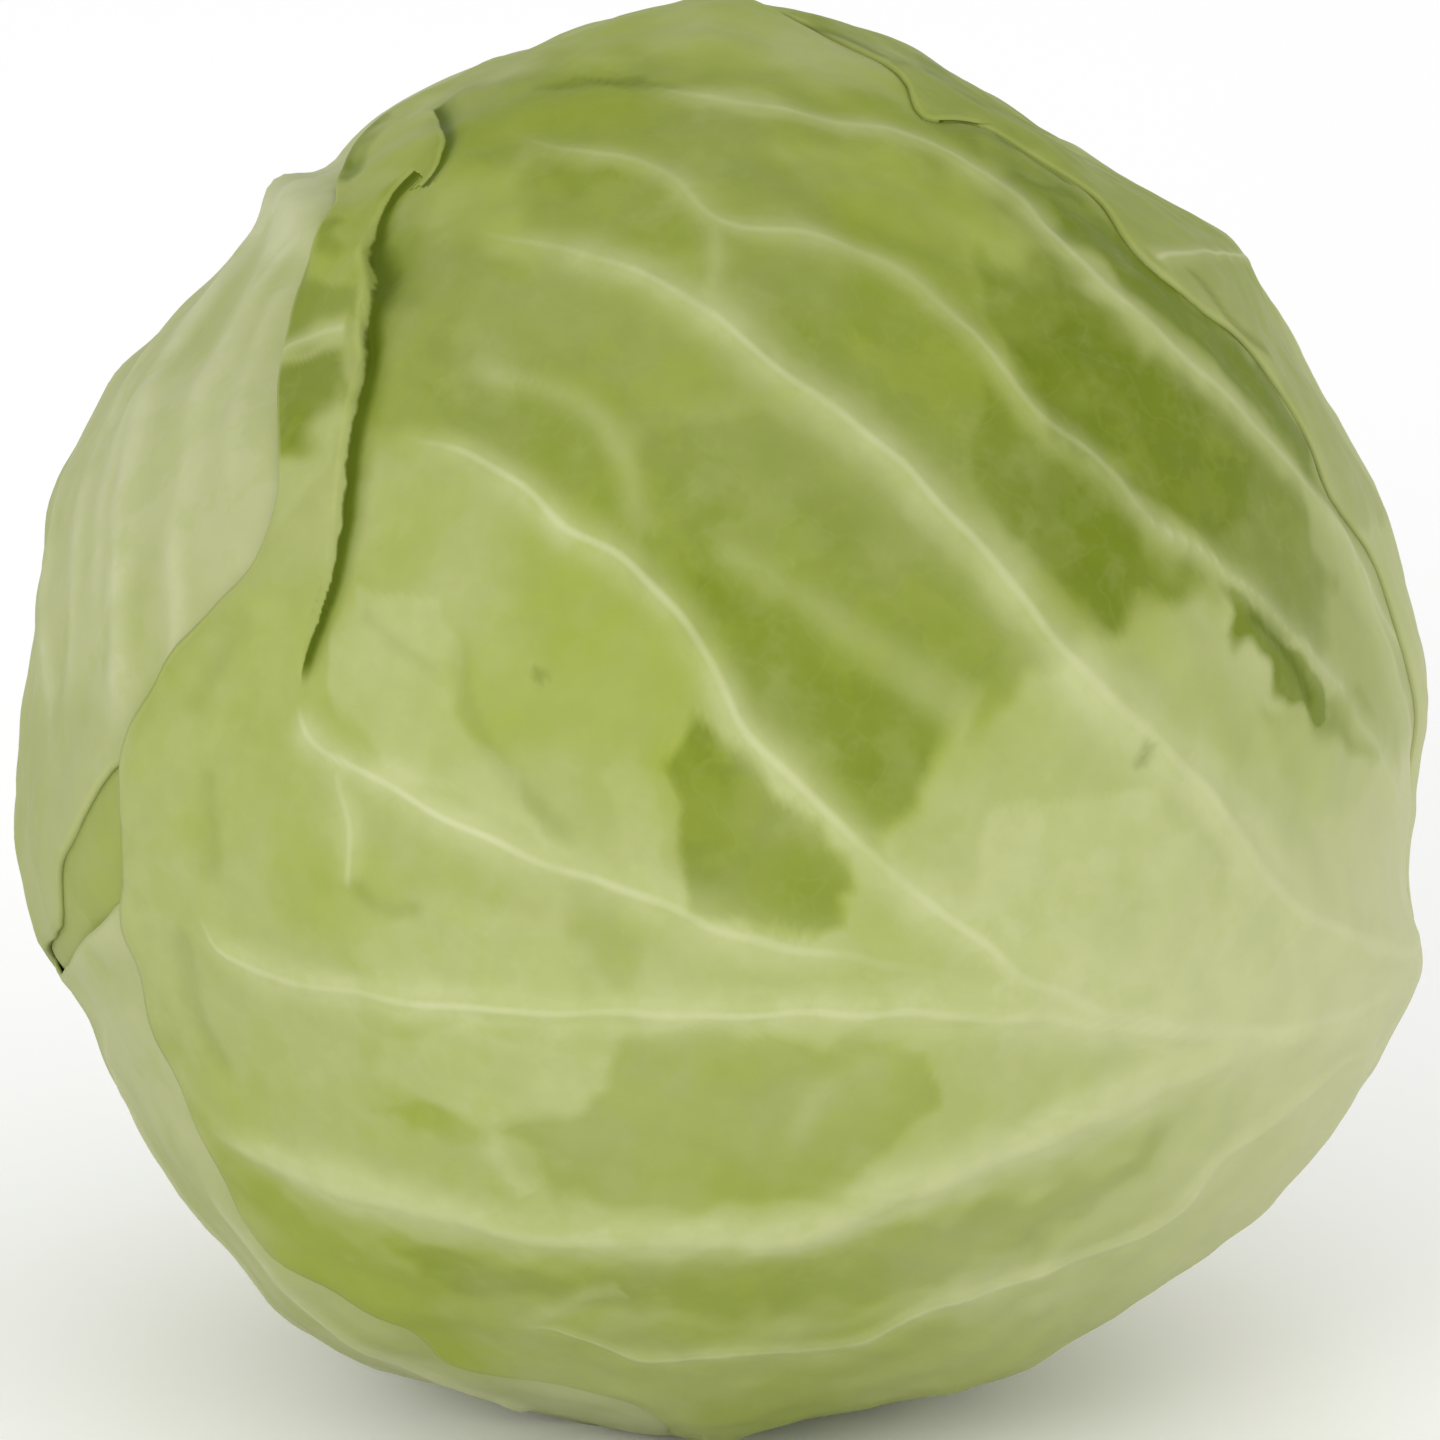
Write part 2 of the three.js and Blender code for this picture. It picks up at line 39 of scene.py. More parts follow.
MM = 0.001
QUILTING = ((0.35, 34.0, 0), (0.22, 13.0, 5), (0.07, 6.0, 6))  # height, wave length, seed step
VEIN_WANDER = 0.3
VEIN_WANDER_LENGTH = 12.0
VEIN_TIP = 0.12  # share of a vein's length over which it ends
SWELL_WIDTH = 7.0  # of the broad rise that carries a vein
SWELL_SHARE = 0.5
RELIEF_FADE = 4.0  # from the margin in
COVERED = (-3.0, 0.5)  # from bare to covered, inside the margin of the leaf above
FRILL_REACH = 10.0
FRILL_FADE = 9.0
FRILL_LENGTH = 13.0
RIM_DROP = 0.25
RIM_WIDTH = 0.9
BLADE_FADE = 7.0  # from the rim's thickness to the blade's
TORN_REACH = 9.0
JOIN_REACH = 5.0  # between the cores of joining veins, in half widths of a core
JOIN_FADE = 1.2
CREASE_END = 0.12
MARGIN_WAVES = (9, 17, 31, 47)  # waves round a leaf
MARGIN_WAVE_FALL = 0.12
LOOP_SAMPLES = 256
PATCH_FRAY = ((1.0, 9.0, 21), (0.3, 5.0, 23))  # push, wave length, seed
PAINTED = (0.0, 0.12)  # from hidden to painted, by how far a direction faces the front
SEEN = (-0.05, 0.15)
FAR = 8.0  # stands for no vein near, and for no margin near
FAR_CORE = 4.0  # the same in half widths of a vein's core
FAR_CLEFT = 6.0  # the same in widths of a cleft
PATCH_STEP = 31.0
FOOT_REACH = 72.0

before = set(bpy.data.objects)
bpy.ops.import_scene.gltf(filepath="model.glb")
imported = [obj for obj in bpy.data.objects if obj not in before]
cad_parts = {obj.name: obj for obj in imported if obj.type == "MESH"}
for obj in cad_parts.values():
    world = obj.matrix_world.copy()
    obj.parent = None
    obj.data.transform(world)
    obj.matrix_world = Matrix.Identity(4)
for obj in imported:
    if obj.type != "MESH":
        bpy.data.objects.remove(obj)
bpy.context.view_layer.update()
log = logging.getLogger("cabbage")


class Slot(Enum):
    """The record's material slots."""

    OUTER = "outer_leaf"
    PALE = "pale_leaf"
    UNDER = "under_leaf"
    INNER = "inner_leaf"
    STEM = "stem_flesh"


# ---------------------------------------------------------------- numbers


def unit(vectors: Array) -> Array:
    """Vectors divided by their lengths."""
    return vectors / np.linalg.norm(vectors, axis=-1, keepdims=True)


def smooth(value: Array, low: float, high: float) -> Array:
    """Smooth step: 0 below low, 1 above high, and 3t^2 - 2t^3 between them."""
    t = np.clip((value - low) / (high - low), 0.0, 1.0)
    return t * t * (3.0 - 2.0 * t)


def bell(value: Array, width: float | Array) -> Array:
    """Bell curve exp(-(value / width)^2)."""
    return np.exp(-((value / width) ** 2))


def spline(points: Array, steps: int, closed: bool = False) -> Array:
    """Centripetal Catmull-Rom curve through points.

    Each span is a cubic whose end slopes come from the neighbours, weighted by the square
    roots of the distances to them. An open curve's ends are extended by reflection.

    Args:
        points: The points, one a row.
        steps: Samples in each span.
        closed: Whether the curve returns to its first point.

    Returns:
        The samples; a closed curve doesn't repeat its first one.
    """
    if closed:
        padded = np.vstack([points[-1:], points, points[:2]])
    else:
        padded = np.vstack([2 * points[0] - points[1], points, 2 * points[-1] - points[-2]])
    before, start, end, after = (padded[i : len(padded) - 3 + i] for i in range(4))
    knot_a, knot_b, knot_c = (
        np.sqrt(np.linalg.norm(b - a, axis=1, keepdims=True)) + 1e-9
        for a, b in ((before, start), (start, end), (end, after))
    )
    slope_start = knot_b * (
        (start - before) / knot_a - (end - before) / (knot_a + knot_b) + (end - start) / knot_b
    )
    slope_end = knot_b * (
        (end - start) / knot_b - (after - start) / (knot_b + knot_c) + (after - end) / knot_c
    )
    t = (np.arange(steps) / steps)[None, :, None]
    a, b, m, n = (part[:, None, :] for part in (start, end, slope_start, slope_end))
    curve = (
        (2 * t**3 - 3 * t**2 + 1) * a + (t**3 - 2 * t**2 + t) * m
        + (3 * t**2 - 2 * t**3) * b + (t**3 - t**2) * n
    ).reshape(-1, points.shape[1])
    return curve if closed else np.vstack([curve, points[-1:]])


def at_shares(loop: Array, shares: Array) -> Array:
    """Points of a closed polygon at shares of its length, from 0 to 1.

    Args:
        loop: Corners of the polygon, one a row.
        shares: Shares of its length.

    Returns:
        The points, one a row.
    """
    ring = np.vstack([loop, loop[:1]])
    length = np.concatenate([[0.0], np.cumsum(np.linalg.norm(np.diff(ring, axis=0), axis=1))])
    wanted = (shares % 1.0) * length[-1]
    return np.stack([np.interp(wanted, length, ring[:, axis]) for axis in (0, 1)], axis=1)


def signed_distance(places: Array, loop: Array) -> Array:
    """Distance from flat places to a polygon's edge, positive inside the polygon.

    The nearest point of each edge gives the distance, and the number of edges that a ray to
    the right crosses says whether a place is inside.

    Args:
        places: Flat places, one a row.
        loop: The polygon's corners, one a row.

    Returns:
        The distances.
    """
    nearest = np.full(len(places), np.inf)
    inside = np.zeros(len(places), dtype=bool)
    for start, end in zip(loop, np.roll(loop, -1, axis=0)):
        along = end - start
        offset = places - start
        share = np.clip(offset @ along / max(along @ along, 1e-12), 0.0, 1.0)
        gap = offset - share[:, None] * along
        nearest = np.minimum(nearest, np.einsum("ij,ij->i", gap, gap))
        if start[1] != end[1]:
            crossing = start[0] + along[0] * (places[:, 1] - start[1]) / along[1]
            spans = (start[1] > places[:, 1]) != (end[1] > places[:, 1])
            inside ^= spans & (places[:, 0] < crossing)
    return np.where(inside, 1.0, -1.0) * np.sqrt(nearest)


def nearest_on_line(places: Array, line: Array) -> tuple[Array, Array, Array]:
    """Nearest points of a line of directions.

    Args:
        places: Unit directions, one a row.
        line: Unit directions along the line.

    Returns:
        The distance on the unit sphere, the share of the way along the line, and 1 on the
        line's left or -1 on its right.
    """
    best = np.full(len(places), np.inf)
    share_at_best = np.zeros(len(places))
    side_at_best = np.ones(len(places))
    for index, (start, end) in enumerate(zip(line[:-1], line[1:])):
        along = end - start
        offset = places - start
        share = np.clip(offset @ along / max(along @ along, 1e-12), 0.0, 1.0)
        gap = offset - share[:, None] * along
        distance = np.einsum("ij,ij->i", gap, gap)
        nearer = distance < best
        best = np.where(nearer, distance, best)
        share_at_best = np.where(nearer, (index + share) / (len(line) - 1), share_at_best)
        left = np.where(gap @ np.cross(along, start) < 0.0, 1.0, -1.0)
        side_at_best = np.where(nearer, -left, side_at_best)
    return np.sqrt(best), share_at_best, side_at_best


def ripple(directions: Array, length: float, seed: int) -> Array:
    """Irregular smooth swell: seven sine waves that run in seeded directions, summed.

    Args:
        directions: Unit directions, one a row.
        length: Wave length on the head in millimetres.
        seed: Seed of the wave directions and phases.

    Returns:
        Heights of about -1 to 1.
    """
    draw = np.random.default_rng(seed)
    runs = unit(draw.normal(size=(7, 3)))
    waves = 2 * np.pi * HEAD.mean_radius / length * draw.uniform(0.75, 1.3, 7)
    phases = draw.uniform(0, 2 * np.pi, 7)
    return np.sin((directions @ runs.T) * waves + phases).sum(axis=1) / 2.6


# ---------------------------------------------------------------- the shape all pieces share


@dataclass(frozen=True)
class Head:
    """The outermost face of the head, which the leaves are laid out on.

    Directions are given in the front elevation: right, up and out towards the viewer.
    """

    mean_radius: float = 88.5
    centre: tuple[float, float, float] = (-0.5, 0.6, 88.4)
    tilt: float = 18.0
    outline: Places = (
        (0, 90.0), (6, 89.9), (19, 88.5), (30, 86.9), (42, 89.2), (60, 85.4), (75, 89.2),
        (90, 92.1), (100, 90.0), (108, 88.2), (117, 87.6), (121, 87.0), (126, 84.6), (129.3, 89.2),
        (132.5, 85.2), (138, 84.8), (150, 87.3), (161, 89.6), (176, 87.4), (190, 91.2), (199, 91.2),
        (204, 89.0), (211, 88.9), (222, 91), (233, 93), (240, 93.2), (255, 91), (270, 92),
        (278, 89.8), (294, 92), (318, 94.1), (330, 94.6), (341, 94.8), (346, 90.2), (350, 88.8),
        (355, 88.4), (360, 90.0),
    )
    outline_spread: float = 0.55
    outline_rounding: tuple[float, ...] = (-1.6, -0.8, 0.0, 0.8, 1.6)
    swells: tuple[tuple[float, float, tuple[float, float, float]], ...] = (
        (0.45, 5.2, (0.8, -0.2, 0.57)),
        (0.35, 7.4, (-0.3, 0.77, 0.56)),
        (0.25, 10.6, (0.48, 0.6, -0.64)),
    )
    stem_pole: tuple[float, float] = (340.5, 99.0)

    @property
    def axes(self) -> Array:
        """Rows: the right, up and out axes of the front elevation."""
        sine, cosine = np.sin(np.radians(self.tilt)), np.cos(np.radians(self.tilt))
        return np.array([[1, 0, 0], [0, sine, cosine], [0, -cosine, sine]], dtype=float)

    def around(self, places: Places) -> Array:
        """Directions of [bearing, reach] places: degrees from the right, and from the front.

        Args:
            places: Bearings and reaches in degrees.

        Returns:
            Unit directions, one a row.
        """
        turn, lean = np.radians(np.array(places, dtype=float)).T
        side = np.sin(lean)
        parts = np.stack([side * np.cos(turn), side * np.sin(turn), np.cos(lean)], axis=1)
        return parts @ self.axes

    def front(self, places: Places) -> Array:
        """Directions of places given right and up of the middle, on the front half.

        Args:
            places: Millimetres right and up of the middle.

        Returns:
            Unit directions, one a row.
        """
        x, y = np.array(places, dtype=float).T
        bearing = np.degrees(np.arctan2(y, x))
        share = np.minimum(1.0, np.hypot(x, y) / self.outline_radius(bearing))
        return self.around(np.stack([bearing, np.degrees(np.arcsin(share))], axis=1))

    def foot_arc(self, start: float, end: float, steps: int = 5, reach: float = 10.0) -> Places:
        """Places round the foot of the stem, by the angle from its front side through its top.

        Args:
            start: Angle where the arc starts, in degrees.
            end: Angle where it ends.
            steps: Spans in the arc.
            reach: Degrees from the stem's axis.

        Returns:
            Bearings and reaches in degrees.
        """
        angle = np.radians(np.linspace(start, end, steps + 1))
        bearing, lean = self.stem_pole
        return list(zip(bearing + reach * np.sin(angle), lean - reach * np.cos(angle)))

    def polygon_radius(self, bearing: Array) -> Array:
        """Radius of the polygon through the outline's corners, straight between them.

        Args:
            bearing: Bearings in degrees.

        Returns:
            Radii in millimetres.
        """
        corners, radii = np.array(self.outline, dtype=float).T
        turn = bearing % 360.0
        after = np.clip(np.searchsorted(corners, turn, side="right"), 1, len(corners) - 1)
        first, second = np.radians(corners[after - 1]), np.radians(corners[after])
        here = np.radians(turn)
        return np.sin(second - first) / (
            np.sin(second - here) / radii[after - 1] + np.sin(here - first) / radii[after]
        )

    def outline_radius(self, bearing: Array) -> Array:
        """Radius of the front outline, with its corners rounded."""
        return np.mean([self.polygon_radius(bearing + turn) for turn in self.outline_rounding], 0)

    def radius(self, directions: Array) -> Array:
        """Radius of the outermost face: mean radius and swells, blended to the outline near
        its plane, and pressed flat where the head rests.

        Args:
            directions: Unit directions, one a row.

        Returns:
            Radii in millimetres.
        """
        right, up, out = (directions @ self.axes.T).T
        swell = sum(
            height * np.sin(waves * (directions @ np.array(run) + 1.0))
            for height, waves, run in self.swells
        )
        outline = self.outline_radius(np.degrees(np.arctan2(up, right)))
        near = bell(out, self.outline_spread)
        radius = (1 - near) * (self.mean_radius + swell) + near * outline
        floor = np.where(directions[:, 2] < -0.5, self.centre[2], np.inf)
        return np.minimum(radius, floor / np.maximum(-directions[:, 2], 1e-6))

    @property
    def stem_axis(self) -> Array:
        """Direction of the middle of the cut stem."""
        return self.around([self.stem_pole])[0]

    def reach(self, directions: Array, pole: Array) -> Array:
        """Distance along the head from a direction to others.

        Args:
            directions: Unit directions, one a row.
            pole: The unit direction measured from.

        Returns:
            Distances in millimetres.
        """
        return self.mean_radius * np.arccos(np.clip(directions @ pole, -1.0, 1.0))

    def place(self, directions: Array, radius: Array) -> Array:
        """Points at a radius in directions."""
        return directions * radius[:, None] + np.array(self.centre)

    def elevation(self, directions: Array) -> Array:
        """Where directions meet the head in the front elevation: right and up of its middle."""
        flat = directions @ self.axes[:2].T
        return flat * self.outline_radius(np.degrees(np.arctan2(flat[:, 1], flat[:, 0])))[:, None]


HEAD = Head()


# ---------------------------------------------------------------- what a leaf carries


@dataclass(frozen=True)
class Vein:
    """One vein: a ridge and a pale line along a curve, fading to its far end.

    Fields give the curve as directions, half the ridge's width, its height, how white its
    core is, the half width and strength of the pale band beside it, its width at the far end,
    and the share of its length over which it comes up at the root.
    """

    line: Array
    width: float = 1.6
    height: float = 0.5
    white: float = 0.6
    band: float = 4.0
    pale: float = 0.25
    tip: float = 0.35
    root: float = 0.02

    def sampled(self) -> Array:
        """The curve as directions about 4 mm apart."""
        return unit(spline(self.line, 6))


@dataclass(frozen=True)
class Tint:
    """A patch of a leaf that is greener where it is rubbed or where shade is painted, or paler with
    bloom.

    The outline is in the front elevation, amount is 1 for the deepest green and -1 for the
    palest bloom, and edge is how soft the border is.
    """

    outline: Places
    amount: float
    edge: float = 1.6


@dataclass(frozen=True)
class Crease:
    """A thin fold with painted shade along its bottom.

    Fields give the line in the front elevation, its half width and depth in millimetres, and how dark its
    painted shade is.
    """

    line: Places
    width: float = 0.8
    depth: float = 0.3
    dark: float = 0.6


@dataclass(frozen=True)
class Tear:
    """A tear whose left lip stands over a cleft.

    Fields give the line, the cleft's width at shares of the way along it, the lip's height
    and reach, the cleft's depth and reach, how far the tear presses in the leaves below and
    over what distance, half the width of the step from the lip to the cleft, and the share of
    the tear over which each of its ends closes.
    """

    line: Array
    widths: Places = ((0.0, 1.0), (1.0, 1.0))
    lip: float = 0.4
    lip_reach: float = 12.0
    depth: float = 2.2
    reach: float = 5.0
    press: float = 1.6
    press_reach: float = 8.0
    fold: float = 0.9
    end: float = 0.1

    def measure(self, directions: Array) -> tuple[Array, Array, Array]:
        """Signed distance in millimetres, negative on the left, the fade at both ends, and
        the cleft's width there.

        Args:
            directions: Unit directions, one a row.

        Returns:
            The distance, the fade and the width.
        """
        gap, share, side = nearest_on_line(directions, unit(spline(self.line, 5)))
        ends = smooth(share, 0.0, self.end) * smooth(1 - share, 0.0, self.end)
        return -side * gap * HEAD.mean_radius, ends, np.interp(share, *np.array(self.widths).T)


class Sheet:
    """The head's face laid flat round a middle, keeping distance and heading from it."""

    def __init__(self, middle: tuple[float, float]) -> None:
        """Set the axes of the sheet.

        Args:
            middle: Bearing and reach of the middle.
        """
        self.pole = HEAD.around([middle])[0]
        self.east = unit(np.cross([0.0, 0.0, 1.0], self.pole))
        self.north = np.cross(self.pole, self.east)

    def flatten(self, directions: Array) -> Array:
        """Flat places of directions.

        Args:
            directions: Unit directions, one a row.

        Returns:
            Flat places in millimetres, one a row.
        """
        distance = HEAD.reach(directions, self.pole)
        heading = np.arctan2(directions @ self.north, directions @ self.east)
        return np.stack([distance * np.cos(heading), distance * np.sin(heading)], axis=1)

    def unflatten(self, places: Array) -> Array:
        """Directions of flat places.

        Args:
            places: Flat places in millimetres, one a row.

        Returns:
            Unit directions, one a row.
        """
        lean = np.linalg.norm(places, axis=1) / HEAD.mean_radius
        heading = np.arctan2(places[:, 1], places[:, 0])
        side = np.sin(lean)
        return (
            np.cos(lean)[:, None] * self.pole
            + (side * np.cos(heading))[:, None] * self.east
            + (side * np.sin(heading))[:, None] * self.north
        )


@dataclass
class LeafMesh:
    """Working arrays of one leaf: grid directions, heights and attributes."""

    directions: Array
    height: Array
    layers: dict[str, Array] = field(default_factory=dict)


@dataclass
class Leaf:
    """One wrapper leaf: a blade in nested squares bent to its outline, with its veins.

    Attributes:
        node: The CAD node it stands for.
        slot: The record's material slot.
        middle: Bearing and reach of the leaf's middle.
        outline: Directions round the margin.
        cells: Cells along a side of the outer face's grid, an even number.
        outer: Leaves that lie over this one.
        veins: Its veins.
        tints: Its rubbed and bloomed patches, and patches of painted shade.
        tears: Its tears.
        creases: Its folds, with painted shade along their bottoms.
        blade: Thickness in the middle.
        rim: Thickness at the margin.
        pitch: How far it presses in what lies under it.
        dip: How far to both sides of the margin that press fades.
        wave: How much the margin waves in and out.
        frill: How much the margin lifts in places.
        slack: How much looser than its neighbours it lies.
        wild: How strong the angular patches of its hidden part are, from 0 to 1.
        seed: Seed of its swells and waves.
        sheet: The head's face laid flat round the leaf's middle.
        border: The margin on that sheet, a closed smooth curve.
    """

    node: str
    slot: Slot
    middle: tuple[float, float]
    outline: Array
    cells: int
    outer: list["Leaf"]
    veins: list[Vein]
    tints: list[Tint] = field(default_factory=list)
    tears: list[Tear] = field(default_factory=list)
    creases: list[Crease] = field(default_factory=list)
    blade: float = 0.9
    rim: float = 0.4
    pitch: float = 1.3
    dip: float = 7.0
    wave: float = 0.5
    frill: float = 0.45
    slack: float = 0.0
    wild: float = 1.0
    seed: int = 1
    sheet: Sheet = field(init=False)
    border: Array = field(init=False)

    def __post_init__(self) -> None:
        """Work out the leaf's sheet and its border."""
        self.sheet = Sheet(self.middle)
        corners = self.sheet.flatten(self.outline)
        turned = np.roll(corners, -1, axis=0)
        if np.sum(corners[:, 0] * turned[:, 1] - turned[:, 0] * corners[:, 1]) < 0:
            corners = corners[::-1]
        self.border = spline(corners, 4, closed=True)

    def inside(self, directions: Array) -> Array:
        """Millimetres from directions to the margin, negative outside the leaf."""
        return signed_distance(self.sheet.flatten(directions), self.border)

    def press(self, directions: Array) -> Array:
        """How far this leaf presses in what lies under it.

        Args:
            directions: Unit directions, one a row.

        Returns:
            Depths in millimetres.
        """
        depth = self.pitch * smooth(self.inside(directions), -self.dip, self.dip)
        for tear in self.tears:
            gap, ends, _ = tear.measure(directions)
            depth += tear.press * bell(gap, tear.press_reach) * ends
        return depth

    def covered(self, directions: Array) -> Array:
        """How far the outer leaves press this one in.

        Args:
            directions: Unit directions, one a row.

        Returns:
            Depths in millimetres.
        """
        depth = np.full(len(directions), self.slack)
        for leaf in self.outer:
            depth += leaf.press(directions)
        return depth

    def grid(self, cells: int) -> Array:
        """Directions of the nested-square grid.

        A point (u, v) of the square from -1 to 1 has a size s = max(|u|, |v|) and a share of
        the square's edge. It goes to s times a smooth loop's point at that share, plus s^4 of
        what the true margin, which waves a little, departs from the loop there.

        Args:
            cells: Cells along a side of the square.

        Returns:
            Unit directions, row by row.
        """
        side = np.linspace(-1.0, 1.0, cells + 1)
        u, v = (part.ravel() for part in np.meshgrid(side, side))
        size = np.maximum(np.abs(u), np.abs(v))
        x, y = u / np.maximum(size, 1e-9), v / np.maximum(size, 1e-9)
        share = np.select(
            [y <= -1 + 1e-9, x >= 1 - 1e-9, y >= 1 - 1e-9],
            [(x + 1) / 8, (y + 3) / 8, (5 - x) / 8],
            (7 - y) / 8,
        )
        margin = at_shares(self.border, share)
        loop = self.smooth_loop(share)
        turn = 2 * np.pi * share
        wave = sum(
            np.sin(turn * count + self.seed * count) / (1 + MARGIN_WAVE_FALL * count)
            for count in MARGIN_WAVES
        )
        margin = margin * (1 + self.wave * wave / np.linalg.norm(margin, axis=1))[:, None]
        return self.sheet.unflatten(size[:, None] * (loop + size[:, None] ** 3 * (margin - loop)))

    def smooth_loop(self, share: Array, harmonics: int = 3) -> Array:
        """The border without its small turns: its Fourier series up to a few harmonics.

        Args:
            share: Shares of the way round.
            harmonics: Turns of the highest wave kept.

        Returns:
            Flat places, one a row.
        """
        shares = np.arange(LOOP_SAMPLES) / LOOP_SAMPLES
        series = np.fft.fft(at_shares(self.border, shares) @ np.array([1, 1j])) / LOOP_SAMPLES
        orders = np.arange(-harmonics, harmonics + 1)
        loop = np.exp(2j * np.pi * share[:, None] * orders) @ series[orders]
        return np.stack([loop.real, loop.imag], axis=1)

    def relief(self, work: LeafMesh) -> None:
        """Add the veins' ridges, the quilting between them, the rolled margin and the tears.

        Args:
            work: The leaf's arrays; heights and attributes are added to them.
        """
        directions = work.directions
        margin = self.inside(directions)
        work.layers["margin"] = margin
        bare = np.ones(len(directions))
        for leaf in self.outer:
            bare *= 1 - smooth(leaf.inside(directions), *COVERED)
        quilt = sum(
            height * ripple(directions, length, self.seed + step) for height, length, step in QUILTING
        )
        lift = np.clip(0.5 + 0.5 * ripple(directions, FRILL_LENGTH, self.seed + 9), 0.0, 1.2)
        work.height += bare * self.frill * smooth(FRILL_REACH - margin, 0.0, FRILL_FADE) * lift
        fade = smooth(margin, 0.0, RELIEF_FADE)
        rounding = RIM_DROP * (1 - smooth(margin, 0.0, RIM_WIDTH))
        work.height += fade * bare * (self.draw_veins(work) + quilt) - rounding
        self.open_tears(work)
        self.fold_and_shade_creases(work)

    def draw_veins(self, work: LeafMesh) -> Array:
        """Draw the veins' cores and pale bands, along lines that stray a little.

        Where two cores lie close, "joined" rises, and the finish takes the softer "soft".

        Args:
            work: The leaf's arrays; attributes are added to them.

        Returns:
            Heights of the ridges and of the broad rises that carry them, in millimetres.
        """
        directions = work.directions
        ridge, swell, pale, white = (np.zeros(len(directions)) for _ in range(4))
        across, nearest, second, beside = (
            np.full(len(directions), far) for far in (FAR_CORE, FAR, FAR, FAR)
        )
        wander = np.stack(
            [ripple(directions, VEIN_WANDER_LENGTH, self.seed + 30 + axis) for axis in range(3)], axis=1
        )
        strayed = unit(directions + VEIN_WANDER / HEAD.mean_radius * wander)
        for vein in self.veins:
            gap, share, side = nearest_on_line(strayed, vein.sampled())
            gap *= HEAD.mean_radius
            size = 1 - (1 - vein.tip) * share
            ends = smooth(share, 0.0, vein.root) * smooth(1 - share, 0.0, VEIN_TIP)
            ridge = np.maximum(ridge, vein.height * size * ends * bell(gap, vein.width * size))
            swell = np.maximum(swell, SWELL_SHARE * vein.height * ends * bell(gap, SWELL_WIDTH))
            pale = np.maximum(pale, vein.pale * ends * bell(gap, vein.band * size))
            if vein.white == 0:
                continue
            core = gap / (0.5 * vein.width * size)
            nearer = core < nearest
            second = np.where(nearer, nearest, np.minimum(second, core))
            nearest = np.where(nearer, core, nearest)
            beside = np.where(nearer, gap, beside)
            across = np.where(nearer, side * core, across)
            white = np.where(nearer, vein.white * ends, white)
        work.layers |= {
            "white": white, "pale": pale, "across": across, "beside": beside,
            "joined": smooth(JOIN_REACH - second, 0.0, JOIN_FADE), "soft": bell(nearest, 1.0),
        }
        return ridge + swell

    def fold_and_shade_creases(self, work: LeafMesh) -> None:
        """Sink the creases and mark where their painted shade goes.

        Args:
            work: The leaf's arrays.
        """
        dark = np.zeros(len(work.directions))
        for crease in self.creases:
            line = unit(spline(HEAD.front(crease.line), 4))
            gap, share, _ = nearest_on_line(work.directions, line)
            ends = smooth(share * (1 - share), 0.0, CREASE_END)
            shape = bell(gap * HEAD.mean_radius, crease.width) * ends
            work.height -= crease.depth * shape
            dark = np.maximum(dark, crease.dark * shape)
        work.layers["crease"] = dark

    def open_tears(self, work: LeafMesh) -> None:
        """Raise each tear's left lip and sink the cleft on its right, as one smooth fold.

        Args:
            work: The leaf's arrays.
        """
        cleft = np.full(len(work.directions), FAR_CLEFT)
        torn = np.zeros(len(work.directions))
        for tear in self.tears:
            gap, ends, width = tear.measure(work.directions)
            over = smooth(gap, -tear.fold, tear.fold)
            rise = tear.lip * bell(gap, tear.lip_reach)
            drop = tear.depth * bell(gap, tear.reach)
            work.height += ((1 - over) * rise - over * drop) * ends
            near = ends * bell(gap, TORN_REACH)
            cleft = np.where(near > torn, np.clip(gap / width, -FAR_CLEFT, FAR_CLEFT), cleft)
            torn = np.maximum(torn, near)
        work.layers |= {"cleft": cleft, "torn": torn}

    def colours(self, work: LeafMesh) -> None:
        """Add the tint of rubbed, bloomed and painted-shade patches and the paleness towards the foot.

        Args:
            work: The leaf's arrays; attributes are added to them.
        """
        directions = work.directions
        flat = HEAD.elevation(directions)
        out = directions @ HEAD.axes[2]
        for push, length, seed in PATCH_FRAY:
            bends = [ripple(directions, length, seed), ripple(directions, length, seed + 1)]
            flat = flat + push * np.stack(bends, axis=1)
        tint = np.zeros(len(directions))
        for patch in self.tints:
            inside = signed_distance(flat, np.array(patch.outline, dtype=float))
            tint += patch.amount * smooth(inside, -patch.edge, patch.edge)
        work.layers |= {
            "tint": tint * smooth(out, *PAINTED),
            "foot": bell(HEAD.reach(directions, HEAD.stem_axis), FOOT_REACH),
            "wild": self.wild * (1 - smooth(out, *SEEN)),
        }

    def build(self) -> bpy.types.Object:
        """Build the closed blade: a fine outer face, an inner face of half as many cells, and
        a rim that joins each inner edge to two outer ones.

        Returns:
            The new object.
        """
        outer = LeafMesh(self.grid(self.cells), np.zeros((self.cells + 1) ** 2))
        self.relief(outer)
        self.colours(outer)
        base = HEAD.radius(outer.directions) - self.covered(outer.directions)
        top = HEAD.place(outer.directions, base + outer.height)
        step = np.arange(0, self.cells + 1, 2)
        picked = (step[:, None] * (self.cells + 1) + step).ravel()
        margin = outer.layers["margin"][picked]
        thick = self.rim + (self.blade - self.rim) * smooth(margin, 0.0, BLADE_FADE)
        smoothed = base[picked] + np.minimum(outer.height[picked], 0.0)
        under = HEAD.place(outer.directions[picked], smoothed - thick)
        vertices = np.vstack([top, under])
        vertices[:, 2] = np.maximum(vertices[:, 2], 0.0)
        layers = {name: np.concatenate([layer, layer[picked]]) for name, layer in outer.layers.items()}
        return make_mesh(self.node, vertices * MM, blade_faces(self.cells), layers)

    def dress(self, finish: "LeafFinish") -> bpy.types.Object:
        """Build the leaf, give it its finish and let it stand for its CAD node.

        Args:
            finish: The leaf's finish.

        Returns:
            The finished piece.
        """
        piece = self.build()
        piece.data.materials.append(finish.material(self.node, PATCH_STEP * self.seed))
        settle(piece, self.node)
        return piece


